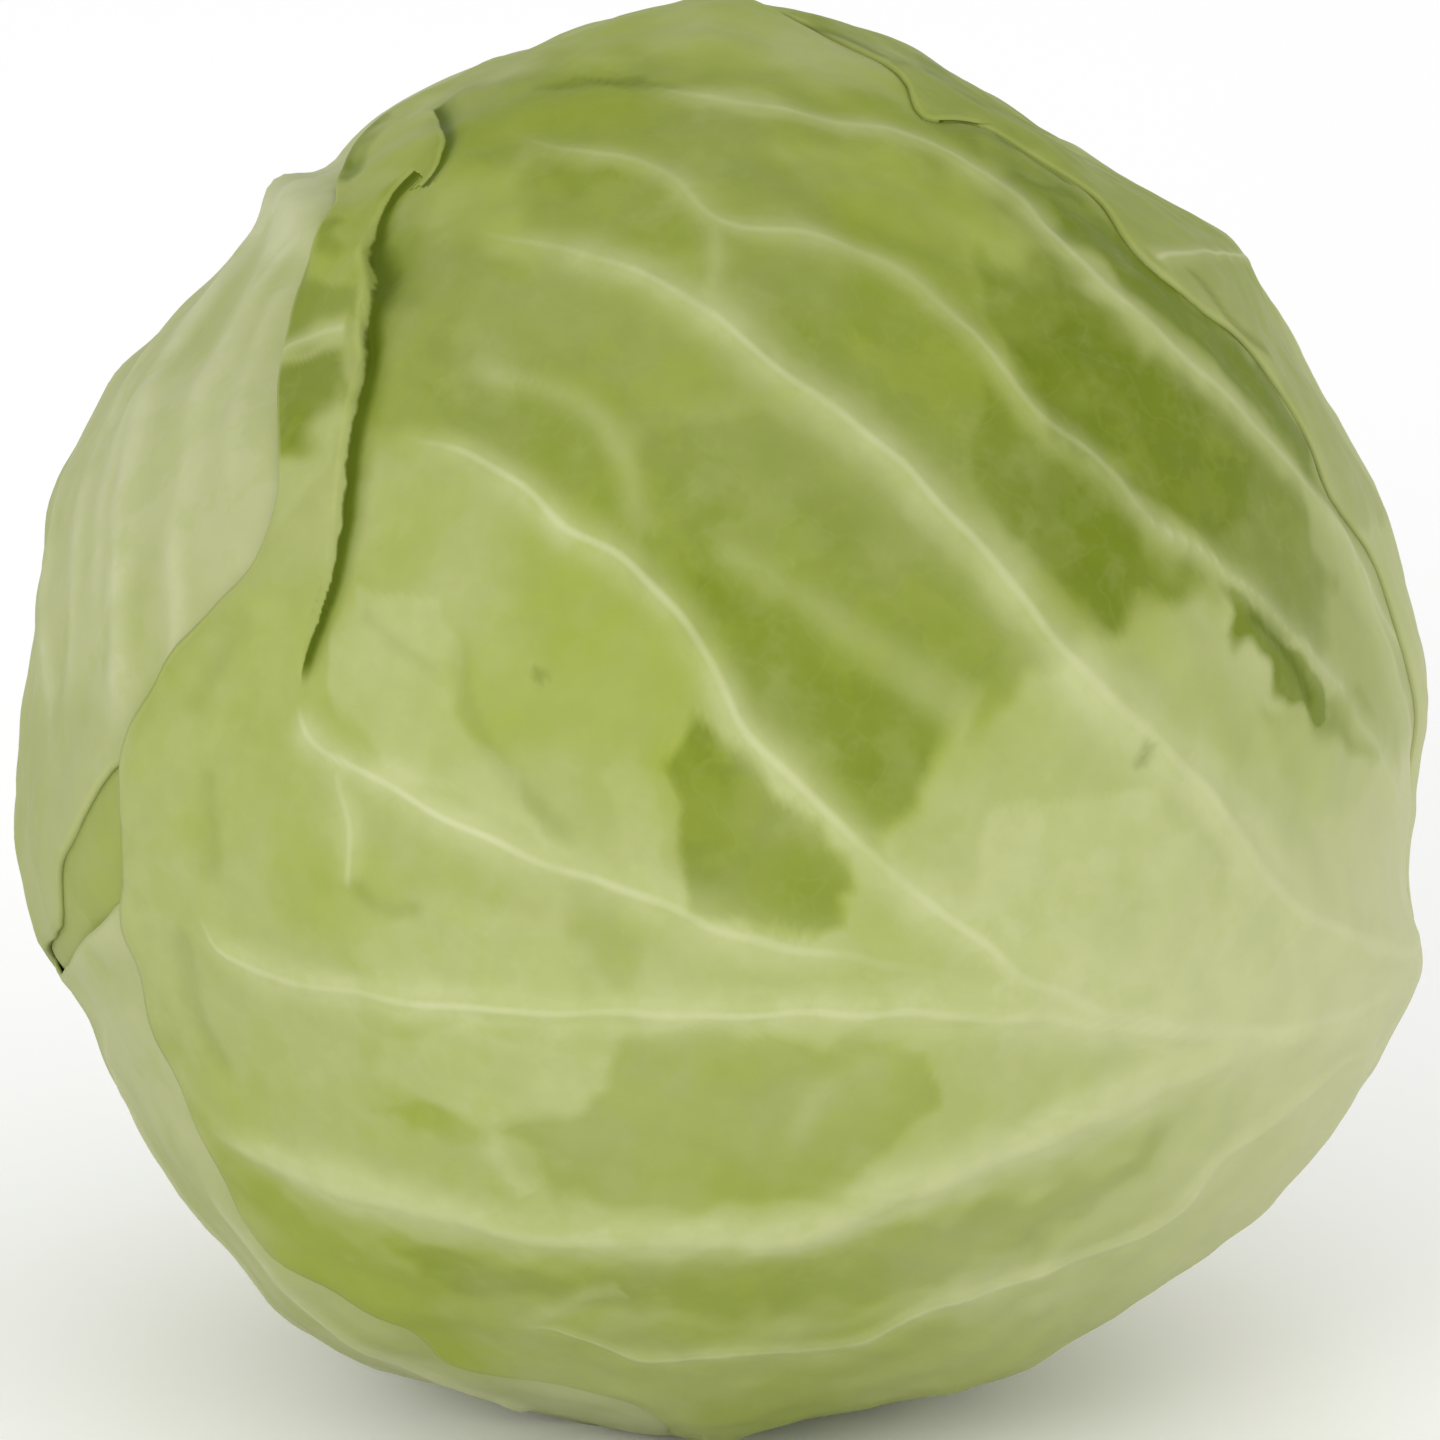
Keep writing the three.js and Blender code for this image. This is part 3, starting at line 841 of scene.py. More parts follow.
def blade_faces(cells: int) -> Array:
    """Triangles of a leaf: both faces and the rim, facing outwards.

    The outer face has cells by cells squares, the inner face half as many each way, after the
    outer face's vertices. Each inner rim edge meets two outer rim edges.

    Args:
        cells: Cells along a side of the outer face's grid.

    Returns:
        Vertex indices, three a row.
    """
    half, width = cells // 2, cells + 1
    first = width * width

    def squares(count: int, start: int, flip: bool) -> Array:
        """Two triangles for each square of a grid, split along the line to the grid's middle.

        Args:
            count: Squares along a side.
            start: Index of the grid's first vertex.
            flip: Whether the faces look the other way.

        Returns:
            Vertex indices, three a row.
        """
        row, column = (part.ravel() for part in np.meshgrid(np.arange(count), np.arange(count)))
        a = start + row * (count + 1) + column
        square = np.stack([a, a + 1, a + count + 2, a + count + 1], 1)
        crossed = (2 * row + 1 > count) != (2 * column + 1 > count)
        a, b, c, d = np.where(crossed[:, None], np.roll(square, -1, axis=1), square).T
        faces = np.concatenate([np.stack([a, b, c], 1), np.stack([a, c, d], 1)])
        return faces[:, ::-1] if flip else faces

    def rim(count: int, start: int) -> Array:
        """Indices round a grid's edge, anticlockwise from its first corner."""
        line = np.arange(count)
        return start + np.concatenate([
            line, line * (count + 1) + count,
            count * (count + 1) + count - line, (count - line) * (count + 1),
        ])

    outer, inner = rim(cells, 0), rim(half, first)
    o0, o1, o2 = outer[::2], outer[1::2], np.roll(outer, -2)[::2]
    i0, i1 = inner, np.roll(inner, -1)
    sides = [np.stack(corners, 1) for corners in ((o0, i0, o1), (o1, i0, i1), (o1, i1, o2))]
    return np.concatenate([squares(cells, 0, False), squares(half, first, True), *sides])


def make_mesh(name: str, vertices: Array, triangles: Array, layers: dict[str, Array]) -> bpy.types.Object:
    """Put a triangle mesh in the scene.

    Args:
        name: Name of the object.
        vertices: Positions in metres.
        triangles: Vertex indices, three a row.
        layers: Values at the vertices, by attribute name.

    Returns:
        The new object, with smooth shading.
    """
    mesh = bpy.data.meshes.new(name)
    mesh.vertices.add(len(vertices))
    mesh.vertices.foreach_set("co", vertices.astype(np.float32).ravel())
    mesh.loops.add(triangles.size)
    mesh.loops.foreach_set("vertex_index", triangles.astype(np.int32).ravel())
    mesh.polygons.add(len(triangles))
    mesh.polygons.foreach_set("loop_start", np.arange(0, triangles.size, 3, dtype=np.int32))
    mesh.update(calc_edges=True)
    for layer, values in layers.items():
        attribute = mesh.attributes.new(layer, "FLOAT", "POINT")
        attribute.data.foreach_set("value", values.astype(np.float32))
    mesh.validate()
    mesh.shade_smooth()
    piece = bpy.data.objects.new(f"{name}_skin", mesh)
    bpy.context.scene.collection.objects.link(piece)
    return piece


def settle(piece: bpy.types.Object, node: str) -> None:
    """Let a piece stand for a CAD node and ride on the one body.

    Args:
        piece: The finished piece.
        node: The CAD node that it stands for.
    """
    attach(piece, "root")
    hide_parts(node)
    log.info("%s stands for %s: %d triangles", piece.name, node, len(piece.data.polygons))


# ---------------------------------------------------------------- shader maths


class Channel:
    """A shader value that adds, subtracts, multiplies and divides like a number."""

    def __init__(self, graph: "Graph", socket: bpy.types.NodeSocket) -> None:
        """Keep the socket and the graph that it is in."""
        self.graph = graph
        self.socket = socket

    def __add__(self, other: "Channel | float") -> "Channel":
        """Sum."""
        return self.graph.math("ADD", self, other)

    def __sub__(self, other: "Channel | float") -> "Channel":
        """Difference."""
        return self.graph.math("SUBTRACT", self, other)

    def __rsub__(self, other: "Channel | float") -> "Channel":
        """Number minus this value."""
        return self.graph.math("SUBTRACT", other, self)

    def __mul__(self, other: "Channel | float") -> "Channel":
        """Product."""
        return self.graph.math("MULTIPLY", self, other)

    __radd__ = __add__
    __rmul__ = __mul__

    def absolute(self) -> "Channel":
        """Value without its sign."""
        return self.graph.math("ABSOLUTE", self)

    def step(self, low: float, high: float) -> "Channel":
        """Smooth step from 0 at low to 1 at high; low may be the larger.

        Args:
            low: Value that gives 0.
            high: Value that gives 1.

        Returns:
            The stepped value.
        """
        turned = low > high
        start, end = (high, low) if turned else (low, high)
        value = self.graph.node(
            "ShaderNodeMapRange",
            {"interpolation_type": "SMOOTHSTEP"},
            {"Value": self, "From Min": start, "From Max": end},
        )
        return 1.0 - value if turned else value

    def clamped(self) -> "Channel":
        """Value kept from 0 to 1."""
        return self.graph.node("ShaderNodeClamp", {}, {"Value": self})


class Graph:
    """The shader nodes of one material."""

    def __init__(self, name: str) -> None:
        """Make an empty material.

        Args:
            name: The material's name.
        """
        self.material = bpy.data.materials.new(name)
        self.material.use_nodes = True
        self.tree = self.material.node_tree
        self.tree.nodes.clear()

    def node(
        self,
        kind: str,
        settings: dict[str, Any] | None = None,
        values: dict[str | int, Any] | None = None,
        output: int | str = 0,
    ) -> Channel:
        """Add one node: its settings first, then its sockets.

        Args:
            kind: The node's type.
            settings: Its properties; "stops" is a list of (place, colour) for a ramp.
            values: Numbers, colours or channels, by the name or index of the input.
            output: The output to return.

        Returns:
            The chosen output.
        """
        node = self.tree.nodes.new(kind)
        for name, value in (settings or {}).items():
            if name == "stops":
                ramp = node.color_ramp
                while len(ramp.elements) < len(value):
                    ramp.elements.new(0.5)
                for stop, (place, colour) in zip(ramp.elements, value):
                    stop.position, stop.color = place, colour
            else:
                setattr(node, name, value)
        for key, value in (values or {}).items():
            if isinstance(value, Channel):
                self.tree.links.new(value.socket, node.inputs[key])
            else:
                node.inputs[key].default_value = value
        return Channel(self, node.outputs[output])

    def math(self, operation: str, *values: Channel | float) -> Channel:
        """One Math node."""
        return self.node("ShaderNodeMath", {"operation": operation}, dict(enumerate(values)))

    def vector(self, operation: str, values: dict[str | int, Any]) -> Channel:
        """One Vector Math node."""
        return self.node("ShaderNodeVectorMath", {"operation": operation}, values)

    def mix(self, below: Any, above: Any, share: Channel | float) -> Channel:
        """Blend of two colours."""
        return self.node("ShaderNodeMix", {"data_type": "RGBA"}, {0: share, 6: below, 7: above}, 2)

    def attribute(self, name: str) -> Channel:
        """A value painted at the vertices."""
        return self.node("ShaderNodeAttribute", {"attribute_name": name}, {}, "Fac")

    def place(self) -> Channel:
        """Object coordinates in metres."""
        return self.node("ShaderNodeTexCoord", {}, {}, "Object")

    def noise(self, place: Channel, length: float, detail: float = 2.0, rough: float = 0.5) -> Channel:
        """Noise from 0 to 1 with features about length millimetres across."""
        values = {"Vector": place, "Scale": 1000.0 / length, "Detail": detail, "Roughness": rough}
        return self.node("ShaderNodeTexNoise", {}, values, "Fac")

    def warped(self, place: Channel, length: float, strength: float) -> Channel:
        """Coordinates pushed about by up to strength millimetres.

        Args:
            place: The coordinates.
            length: Size of the bends in millimetres.
            strength: Furthest push in millimetres.

        Returns:
            The bent coordinates.
        """
        values = {"Vector": place, "Scale": 1000.0 / length, "Detail": 0.0}
        push = self.node("ShaderNodeTexNoise", {}, values, "Color")
        centred = self.vector("SUBTRACT", {0: push, 1: (0.5, 0.5, 0.5)})
        scaled = self.vector("SCALE", {0: centred, "Scale": 2 * strength * MM})
        return self.vector("ADD", {0: place, 1: scaled})

    def shifted(self, place: Channel, distance: float) -> Channel:
        """Coordinates moved along each axis by a distance in millimetres."""
        return self.vector("ADD", {0: place, 1: (distance * MM,) * 3})

    def cells(self, place: Channel, length: float, feature: str, output: str) -> Channel:
        """Voronoi cells about length millimetres across."""
        values = {"Vector": place, "Scale": 1000.0 / length}
        return self.node("ShaderNodeTexVoronoi", {"feature": feature}, values, output)

    def bump(self, height: Channel, strength: float, distance: float) -> Channel:
        """Normal tilted by a height, distance millimetres at a height of 1."""
        values = {"Strength": strength, "Distance": distance * MM, "Height": height}
        return self.node("ShaderNodeBump", {}, values, "Normal")

    def surface(self, values: dict[str, Any]) -> bpy.types.Material:
        """Finish the material with one principled shader.

        Args:
            values: Numbers, colours or channels, by the name of the shader's input.

        Returns:
            The material.
        """
        shader = self.node("ShaderNodeBsdfPrincipled", {}, values, "BSDF")
        output = self.tree.nodes.new("ShaderNodeOutputMaterial")
        self.tree.links.new(shader.socket, output.inputs["Surface"])
        return self.material


def srgb(red: float, green: float, blue: float) -> tuple[float, float, float, float]:
    """Linear colour of display values from 0 to 255.

    Args:
        red: Red.
        green: Green.
        blue: Blue.

    Returns:
        The linear colour, opaque.
    """
    parts = np.array([red, green, blue]) / 255.0
    linear = np.where(parts <= 0.04045, parts / 12.92, ((parts + 0.055) / 1.055) ** 2.4)
    return (*(float(part) for part in linear), 1.0)


# ---------------------------------------------------------------- finishes


Colour = tuple[float, float, float, float]


@dataclass(frozen=True)
class LeafFinish:
    """Living cabbage leaf: waxy green, deeper where rubbed, paler by the veins and the foot, with painted
    shade in its creases and tears and a painted highlight on a tear's lip.

    Fields are the leaf's colours, how rough and shiny its wax is, the sizes of its noises and
    patches in millimetres, and the shares of the marks that lie over its ground colour.
    """

    light: Colour = srgb(149, 156, 94)
    mid: Colour = srgb(137, 149, 62)
    deep: Colour = srgb(99, 114, 18)
    bloom: Colour = srgb(169, 175, 121)
    blotch: Colour = srgb(140, 153, 50)
    vein: Colour = srgb(190, 192, 152)
    foot: Colour = srgb(186, 188, 147)
    # painted shade in the cleft of a tear
    cleft: Colour = srgb(76, 90, 12)
    # pale margin colour, also used as a painted highlight along a tear's lip
    edge: Colour = srgb(167, 175, 102)
    # painted shade along the bottoms of the creases
    fold: Colour = srgb(81, 95, 15)
    roughness: float = 0.5
    shine: float = 0.07
    ground_length: float = 30.0
    grain_length: float = 4.0
    streak_length: float = 10.0
    thinning_length: float = 16.0
    thread_length: float = 8.0
    blotch_length: float = 13.0
    patch_length: float = 26.0
    bend_length: float = 14.0
    bend: float = 5.0
    thread_share: float = 0.07
    grain_share: float = 0.05
    blotch_share: float = 0.16
    faded_share: float = 0.1
    edge_share: float = 0.3
    lip_highlight_share: float = 0.25
    shade_share: float = 0.7
    wild_share: float = 0.35

    def patches(
        self, graph: Graph, place: Channel, fray: Channel, shift: float
    ) -> tuple[Channel, Channel]:
        """Rubbed and bloomed shares, with painted shade among the rubbed: painted ones in front, angular
        cells elsewhere.

        Args:
            graph: The material's nodes.
            place: Object coordinates.
            fray: Noise that frays the patches.
            shift: How far the cells are moved, in millimetres, so that leaves differ.

        Returns:
            The share of rubbing and painted shade, and the bloomed share.
        """
        tint = graph.attribute("tint")
        wild = graph.attribute("wild")
        warped = graph.warped(graph.shifted(place, shift), self.bend_length, self.bend)
        cell = graph.cells(warped, self.patch_length, "F1", "Color")
        drawn = graph.node("ShaderNodeSeparateColor", {}, {"Color": cell}, "Red")
        wild_rub = wild * drawn.step(0.6, 0.8) * self.wild_share * fray.step(0.2, 0.7)
        wild_bloom = wild * drawn.step(0.35, 0.15) * self.wild_share
        rub_and_shade = tint.clamped() * (0.6 + 0.8 * fray) + wild_rub
        bloom = (0.0 - tint).clamped() * (0.65 + 0.7 * fray) + wild_bloom
        return rub_and_shade.clamped(), bloom.clamped()

    def material(self, name: str, shift: float = 0.0) -> bpy.types.Material:
        """Build the finish for one leaf.

        Args:
            name: The piece's name.
            shift: How far its patches are moved, in millimetres.

        Returns:
            The finished material.
        """
        graph = Graph(f"{name}_finish")
        place = graph.place()
        broad = graph.noise(place, self.ground_length, 3.0, 0.55)
        small = graph.noise(place, self.grain_length, 2.0, 0.6)
        streak = graph.noise(place, self.streak_length, 3.0, 0.55)
        rub_and_shade, bloom = self.patches(graph, place, streak, shift)
        colour = graph.mix(self.light, self.mid, broad.step(0.36, 0.64))
        # deeper green where rubbed, and painted shade under the top leaf's margin
        colour = graph.mix(colour, self.deep, rub_and_shade)
        band = (graph.attribute("pale") * (0.35 + 1.3 * streak)).clamped()
        colour = graph.mix(colour, self.bloom, (bloom + band * (1.0 - 0.25 * rub_and_shade)).clamped())
        colour = self.marked(graph, place, colour, small)
        foot = graph.attribute("foot") * (0.8 + 0.4 * streak) * (1.0 - 0.8 * rub_and_shade)
        colour = graph.mix(colour, self.foot, foot.clamped())
        colour = graph.mix(colour, self.vein, self.vein_core(graph, place))
        colour = graph.mix(colour, self.edge, graph.attribute("margin").step(1.1, 0.3) * self.edge_share)
        # painted shade along the creases
        colour = graph.mix(colour, self.fold, graph.attribute("crease"))
        colour = self.torn(graph, colour, small)
        return graph.surface({
            "Base Color": colour,
            "Roughness": self.roughness + 0.14 * broad - 0.08 * rub_and_shade,
            "Normal": graph.bump(small, 0.35, 0.16),
            "Specular IOR Level": self.shine,
        })

    def marked(self, graph: Graph, place: Channel, colour: Channel, grain: Channel) -> Channel:
        """The colour with faint pale threads, fine grain and darker and paler blotches.

        Args:
            graph: The material's nodes.
            place: Object coordinates.
            colour: The colour so far.
            grain: The fine noise.

        Returns:
            The marked colour.
        """
        threads = (graph.noise(place, self.thread_length, 2.0, 0.5) - 0.5).absolute().step(0.03, 0.0)
        blotch = graph.noise(place, self.blotch_length, 4.0, 0.6)
        colour = graph.mix(colour, self.light, threads * self.thread_share)
        colour = graph.mix(colour, self.deep, grain.step(0.62, 0.42) * self.grain_share)
        colour = graph.mix(colour, self.blotch, blotch.step(0.52, 0.6) * self.blotch_share)
        return graph.mix(colour, self.bloom, blotch.step(0.46, 0.34) * self.faded_share)

    def vein_core(self, graph: Graph, place: Channel) -> Channel:
        """How much of a vein's white core shows; it is softer where two veins join.

        Args:
            graph: The material's nodes.
            place: Object coordinates.

        Returns:
            The share, from 0 to 1.
        """
        across, beside = graph.attribute("across").absolute(), graph.attribute("beside")
        joined = graph.attribute("joined")
        drawn = across.step(1.3, 0.1) * beside.step(2.0, 1.4)
        thin = graph.noise(place, self.thinning_length, 2.0, 0.5).step(0.3, 0.62)
        shape = drawn * (1.0 - joined) + graph.attribute("soft") * joined
        return shape * graph.attribute("white") * (0.45 + 0.55 * thin)

    def torn(self, graph: Graph, colour: Channel, grain: Channel) -> Channel:
        """The colour with a painted highlight on a tear's lip, painted shade on its right side and darker
        painted shade in its cleft.

        Args:
            graph: The material's nodes.
            colour: The colour so far.
            grain: The fine noise, which frays the cleft.

        Returns:
            The torn colour.
        """
        cleft = graph.attribute("cleft") + 0.35 * (grain - 0.5)
        torn = graph.attribute("torn").step(0.05, 0.6)
        # painted highlight along the lip, painted shade to its right, and the darkest painted shade in
        # the cleft
        lip = cleft.step(-0.5, -0.2) * cleft.step(0.0, -0.1) * torn * self.lip_highlight_share
        shade = cleft.step(0.0, 0.1) * cleft.step(2.6, 0.4) * torn * self.shade_share
        colour = graph.mix(colour, self.edge, lip)
        colour = graph.mix(colour, self.deep, shade)
        return graph.mix(colour, self.cleft, cleft.step(-0.02, 0.12) * cleft.step(1.35, 0.3) * torn)


@dataclass(frozen=True)
class StemFinish:
    """Cut stem: a thin green rind, juicy pale flesh, a ring of threads and a looser pith."""

    rind: Colour = srgb(168, 178, 110)
    flesh: Colour = srgb(221, 220, 184)
    ring: Colour = srgb(196, 192, 140)
    pith: Colour = srgb(207, 209, 166)
    dried: Colour = srgb(186, 168, 122)
    roughness: float = 0.55

    def material(self, name: str) -> bpy.types.Material:
        """Build the finish from the share of the way out from the stem's middle.

        Args:
            name: The piece's name.

        Returns:
            The finished material.
        """
        graph = Graph(f"{name}_finish")
        place = graph.place()
        fray = graph.noise(place, 2.0, 4.0, 0.6)
        patch = graph.noise(place, 7.0, 3.0, 0.6)
        out = graph.attribute("ring") + 0.12 * (fray - 0.5)
        face = graph.attribute("face")
        dots = graph.cells(place, 1.6, "F1", "Distance").step(0.35, 0.15)
        colour = graph.mix(self.pith, self.flesh, out.step(0.42, 0.58))
        threads = out.step(0.55, 0.66) * out.step(0.86, 0.76) * (0.4 + 0.5 * dots)
        colour = graph.mix(colour, self.ring, threads)
        colour = graph.mix(colour, self.dried, out.step(0.8, 1.0) * patch.step(0.4, 0.62) * 0.7)
        colour = graph.mix(self.rind, colour, face)
        height = 0.6 * fray + 0.5 * dots * face
        return graph.surface({
            "Base Color": colour,
            "Roughness": self.roughness + 0.2 * (patch - 0.5),
            "Normal": graph.bump(height, 0.4, 0.3),
            "Specular IOR Level": 0.35,
        })


@dataclass(frozen=True)
class FloorFinish:
    """Plain pale table top."""

    pale: Colour = srgb(250, 250, 250)
    roughness: float = 0.9

    def material(self, name: str) -> bpy.types.Material:
        """Build the even finish.

        Args:
            name: The piece's name.

        Returns:
            The finished material.
        """
        graph = Graph(f"{name}_finish")
        values = {"Base Color": self.pale, "Roughness": self.roughness, "Specular IOR Level": 0.1}
        return graph.surface(values)


# ---------------------------------------------------------------- the leaves


def branched(
    leaf_middle: tuple[float, float], base: Array, tip: Array, pairs: int, reach: float
) -> list[Array]:
    """Midrib and paired side veins on a leaf's sheet.

    The midrib is straight; the side veins of pair k start at (k + 0.35) / (pairs + 0.6) of it
    and lean out 0.8 radian, then 0.42.

    Args:
        leaf_middle: Bearing and reach of the leaf's middle.
        base: Direction of the midrib's foot.
        tip: Direction of its end.
        pairs: Number of pairs.
        reach: Length of a side vein at the foot in millimetres.

    Returns:
        The lines as directions.
    """
    sheet = Sheet(leaf_middle)
    root, end = sheet.flatten(np.stack([base, tip]))
    axis = end - root
    onward = axis / np.linalg.norm(axis)
    lines = [root + share * axis for share in ([0], [0.34], [0.67], [1])]
    lines = [np.vstack(lines)]
    for pair in range(pairs):
        share = (pair + 0.35) / (pairs + 0.6)
        length = reach * (1 - 0.35 * share)
        for side in (-1, 1):
            start = root + share * axis
            out, on = (turned(onward, side * lean) for lean in (0.8, 0.42))
            bend = start + out * length * 0.5
            lines.append(np.stack([start, bend, bend + on * length * 0.5]))
    return [sheet.unflatten(curve) for curve in lines]


def turned(vector: Array, angle: float) -> Array:
    """A flat vector turned anticlockwise by an angle in radians."""
    sine, cosine = np.sin(angle), np.cos(angle)
    return np.array([cosine * vector[0] - sine * vector[1], sine * vector[0] + cosine * vector[1]])


def line(lead: Places, places: Places) -> Array:
    """Directions along a vein: around places near the foot, then front places."""
    parts = [HEAD.around(lead)] if lead else []
    return np.vstack([*parts, HEAD.front(places)] if places else parts)


@dataclass
class Wrapping:
    """The five wrapper leaves, from the outermost in."""

    tear_line: Places = (
        (-37, 71.5), (-38.3, 69.7), (-40.2, 67), (-41.8, 63.3), (-43.7, 58.8), (-43.8, 53.8), (-44, 49),
        (-43.3, 44.1), (-44.2, 39.5), (-45.9, 33.5), (-47.4, 27.7), (-48.7, 22), (-50.3, 16.3), (-52, 9),
        (-52.6, 2),
    )
    hook_line: Places = ((-36.4, 77.6), (-35.3, 75), (-34.5, 72.3), (-36, 69.8), (-38.2, 65.4))

    def top(self) -> Leaf:
        """The leaf over the top right, whose margin crosses the front.

        Returns:
            The leaf.
        """
        outline = np.vstack([
            HEAD.front([(87, 10), (84, 19), (78, 28), (74, 37), (70, 43), (66, 48), (60, 53), (52, 59),
                        (47, 66), (41, 70), (33, 75), (26, 76), (23, 82), (14, 87)]),
            HEAD.around([(93, 98), (99, 108), (99, 118), (92, 128), (80, 134), (66, 135), (50, 134),
                         (32, 131), (14, 127), (0, 120), (350, 114), *HEAD.foot_arc(165, 15),
                         (351, 87), (0, 83)]),
        ])
        lines = branched((46, 102), *HEAD.around([(353, 102), (92, 112)]), 3, 66.0)
        veins = [Vein(curve, 2.0, 0.8, 0.4, 4.0, 0.6) for curve in lines]
        veins.append(Vein(line([], [(55, 57.5), (60, 58.5), (65, 58.6), (69, 58)]), 1.3, 0.4, 0.4, 2.0,
                          0.5))
        tints = [
            Tint([(26, 76), (37, 72.5), (46, 66), (53, 59), (60, 53), (66, 48), (75, 36), (80, 24),
                  (96, 28), (76, 54), (66, 70), (50, 82), (33, 90), (20, 94)], 0.3),
            # this patch and the spot after it are painted shade along the margin
            Tint([(8, 92), (16, 89), (25, 83), (22, 79), (14, 83)], 0.4),
            Tint([(76, 28), (79, 26), (79.5, 22), (77, 23)], 0.5, 0.8),
            Tint([(24, 83), (30, 79), (40, 74), (50, 67), (46, 72), (34, 79), (26, 84)], 0.3, 0.8),
        ]
        creases = [
            Crease([(9, 89), (16, 86.5), (22, 83.5)], 0.9, 0.2, 0.6),
            Crease([(58, 57), (64, 51), (70, 45)], 0.7, 0.2, 0.4),
        ]
        return Leaf("leaf_top", Slot.OUTER, (46, 102), outline, 180, [], veins, tints, [], creases,
                    rim=0.75, wave=0.4, frill=0.1, seed=3)

    def front(self, top: Leaf) -> Leaf:
        """The broad front leaf, torn at its upper left.

        Args:
            top: The leaf that lies over it.

        Returns:
            The leaf.
        """
        outline = np.vstack([
            HEAD.front([(-41, 77), (-47, 70), (-49, 63), (-52, 53), (-54, 40), (-55, 29), (-59, 20),
                        (-67, 9), (-75, -4), (-76, -10), (-76, -27), (-74, -31), (-71, -41), (-67, -50),
                        (-64, -57), (-57, -68), (-48, -74), (-40, -78), (-34, -82), (-20, -85), (-9, -88),
                        (-2, -91)]),
            HEAD.around([(266, 97), (259, 107), (256, 118), (260, 130), (270, 137), (285, 136),
                         (300, 130), (315, 122), (327, 113), *HEAD.foot_arc(230, 385), (352, 90), (2, 94),
                         (14, 90), (28, 86), (42, 83), (55, 84), (66, 86), (76, 91), (86, 96), (97, 98),
                         (108, 94), (115, 88)]),
        ])
        widths = ((0, 0.7), (0.18, 0.9), (0.26, 2.1), (0.34, 4.4), (0.43, 4.2), (0.5, 2.4), (0.6, 2.3),
                  (0.72, 2.0), (0.82, 1.6), (1, 1.1))
        tears = [
            Tear(HEAD.front(self.tear_line), widths, 0.2, 12.0, 1.5, 4.0, fold=0.5),
            Tear(HEAD.front(self.hook_line), ((0, 1.8), (1, 1.6)), 0.1, 3.0, 0.7, 2.2, 0.6),
        ]
        creases = [
            Crease([(-24, 79.4), (-14, 80.6), (-4, 81)], 0.9, 0.2, 0.35),
            # this crease and the next lie under the top leaf's margin; their painted shade stands for its
            # shadow
            Crease([(34, 73), (39, 70.5), (45, 66.5)], 0.9, 0.3, 0.8),
            Crease([(51, 60.5), (57, 57), (63, 52), (69, 46)], 1.0, 0.4, 0.6),
            Crease([(66, 14), (71, 10), (74.5, 5), (76, 1)], 1.0, 0.4, 0.7),
            Crease([(53.8, -2.6), (53.2, -4.6), (52.4, -6.4)], 0.9, 0.2, 0.4),
            Crease([(-46, 14), (-40, 9), (-34, 5)], 0.9, 0.2, 0.12),
            Crease([(-23.2, 5.8), (-21.4, 4.6)], 0.9, 0.2, 0.4),
            Crease([(-47, -20), (-43, -24), (-37, -24)], 1.2, 0.3, 0.2),
            Crease([(-58, 14), (-63, 7), (-67, 0)], 2.0, 0.5, 0.12),
            Crease([(-65, -6), (-66, -14), (-66, -22)], 2.0, 0.6, 0.12),
            Crease([(-69, -26), (-67, -36), (-62, -46)], 2.0, 0.6, 0.15),
            Crease([(-33.5, 12), (-31.4, 1), (-24, -10.5), (-18, -16.5)], 1.4, 0.35, 0.14),
        ]
        return Leaf("leaf_front", Slot.OUTER, (290, 34), outline, 280, [top], self.front_veins(),
                    self.front_tints(), tears, creases, wave=0.4, frill=0.7, seed=7)

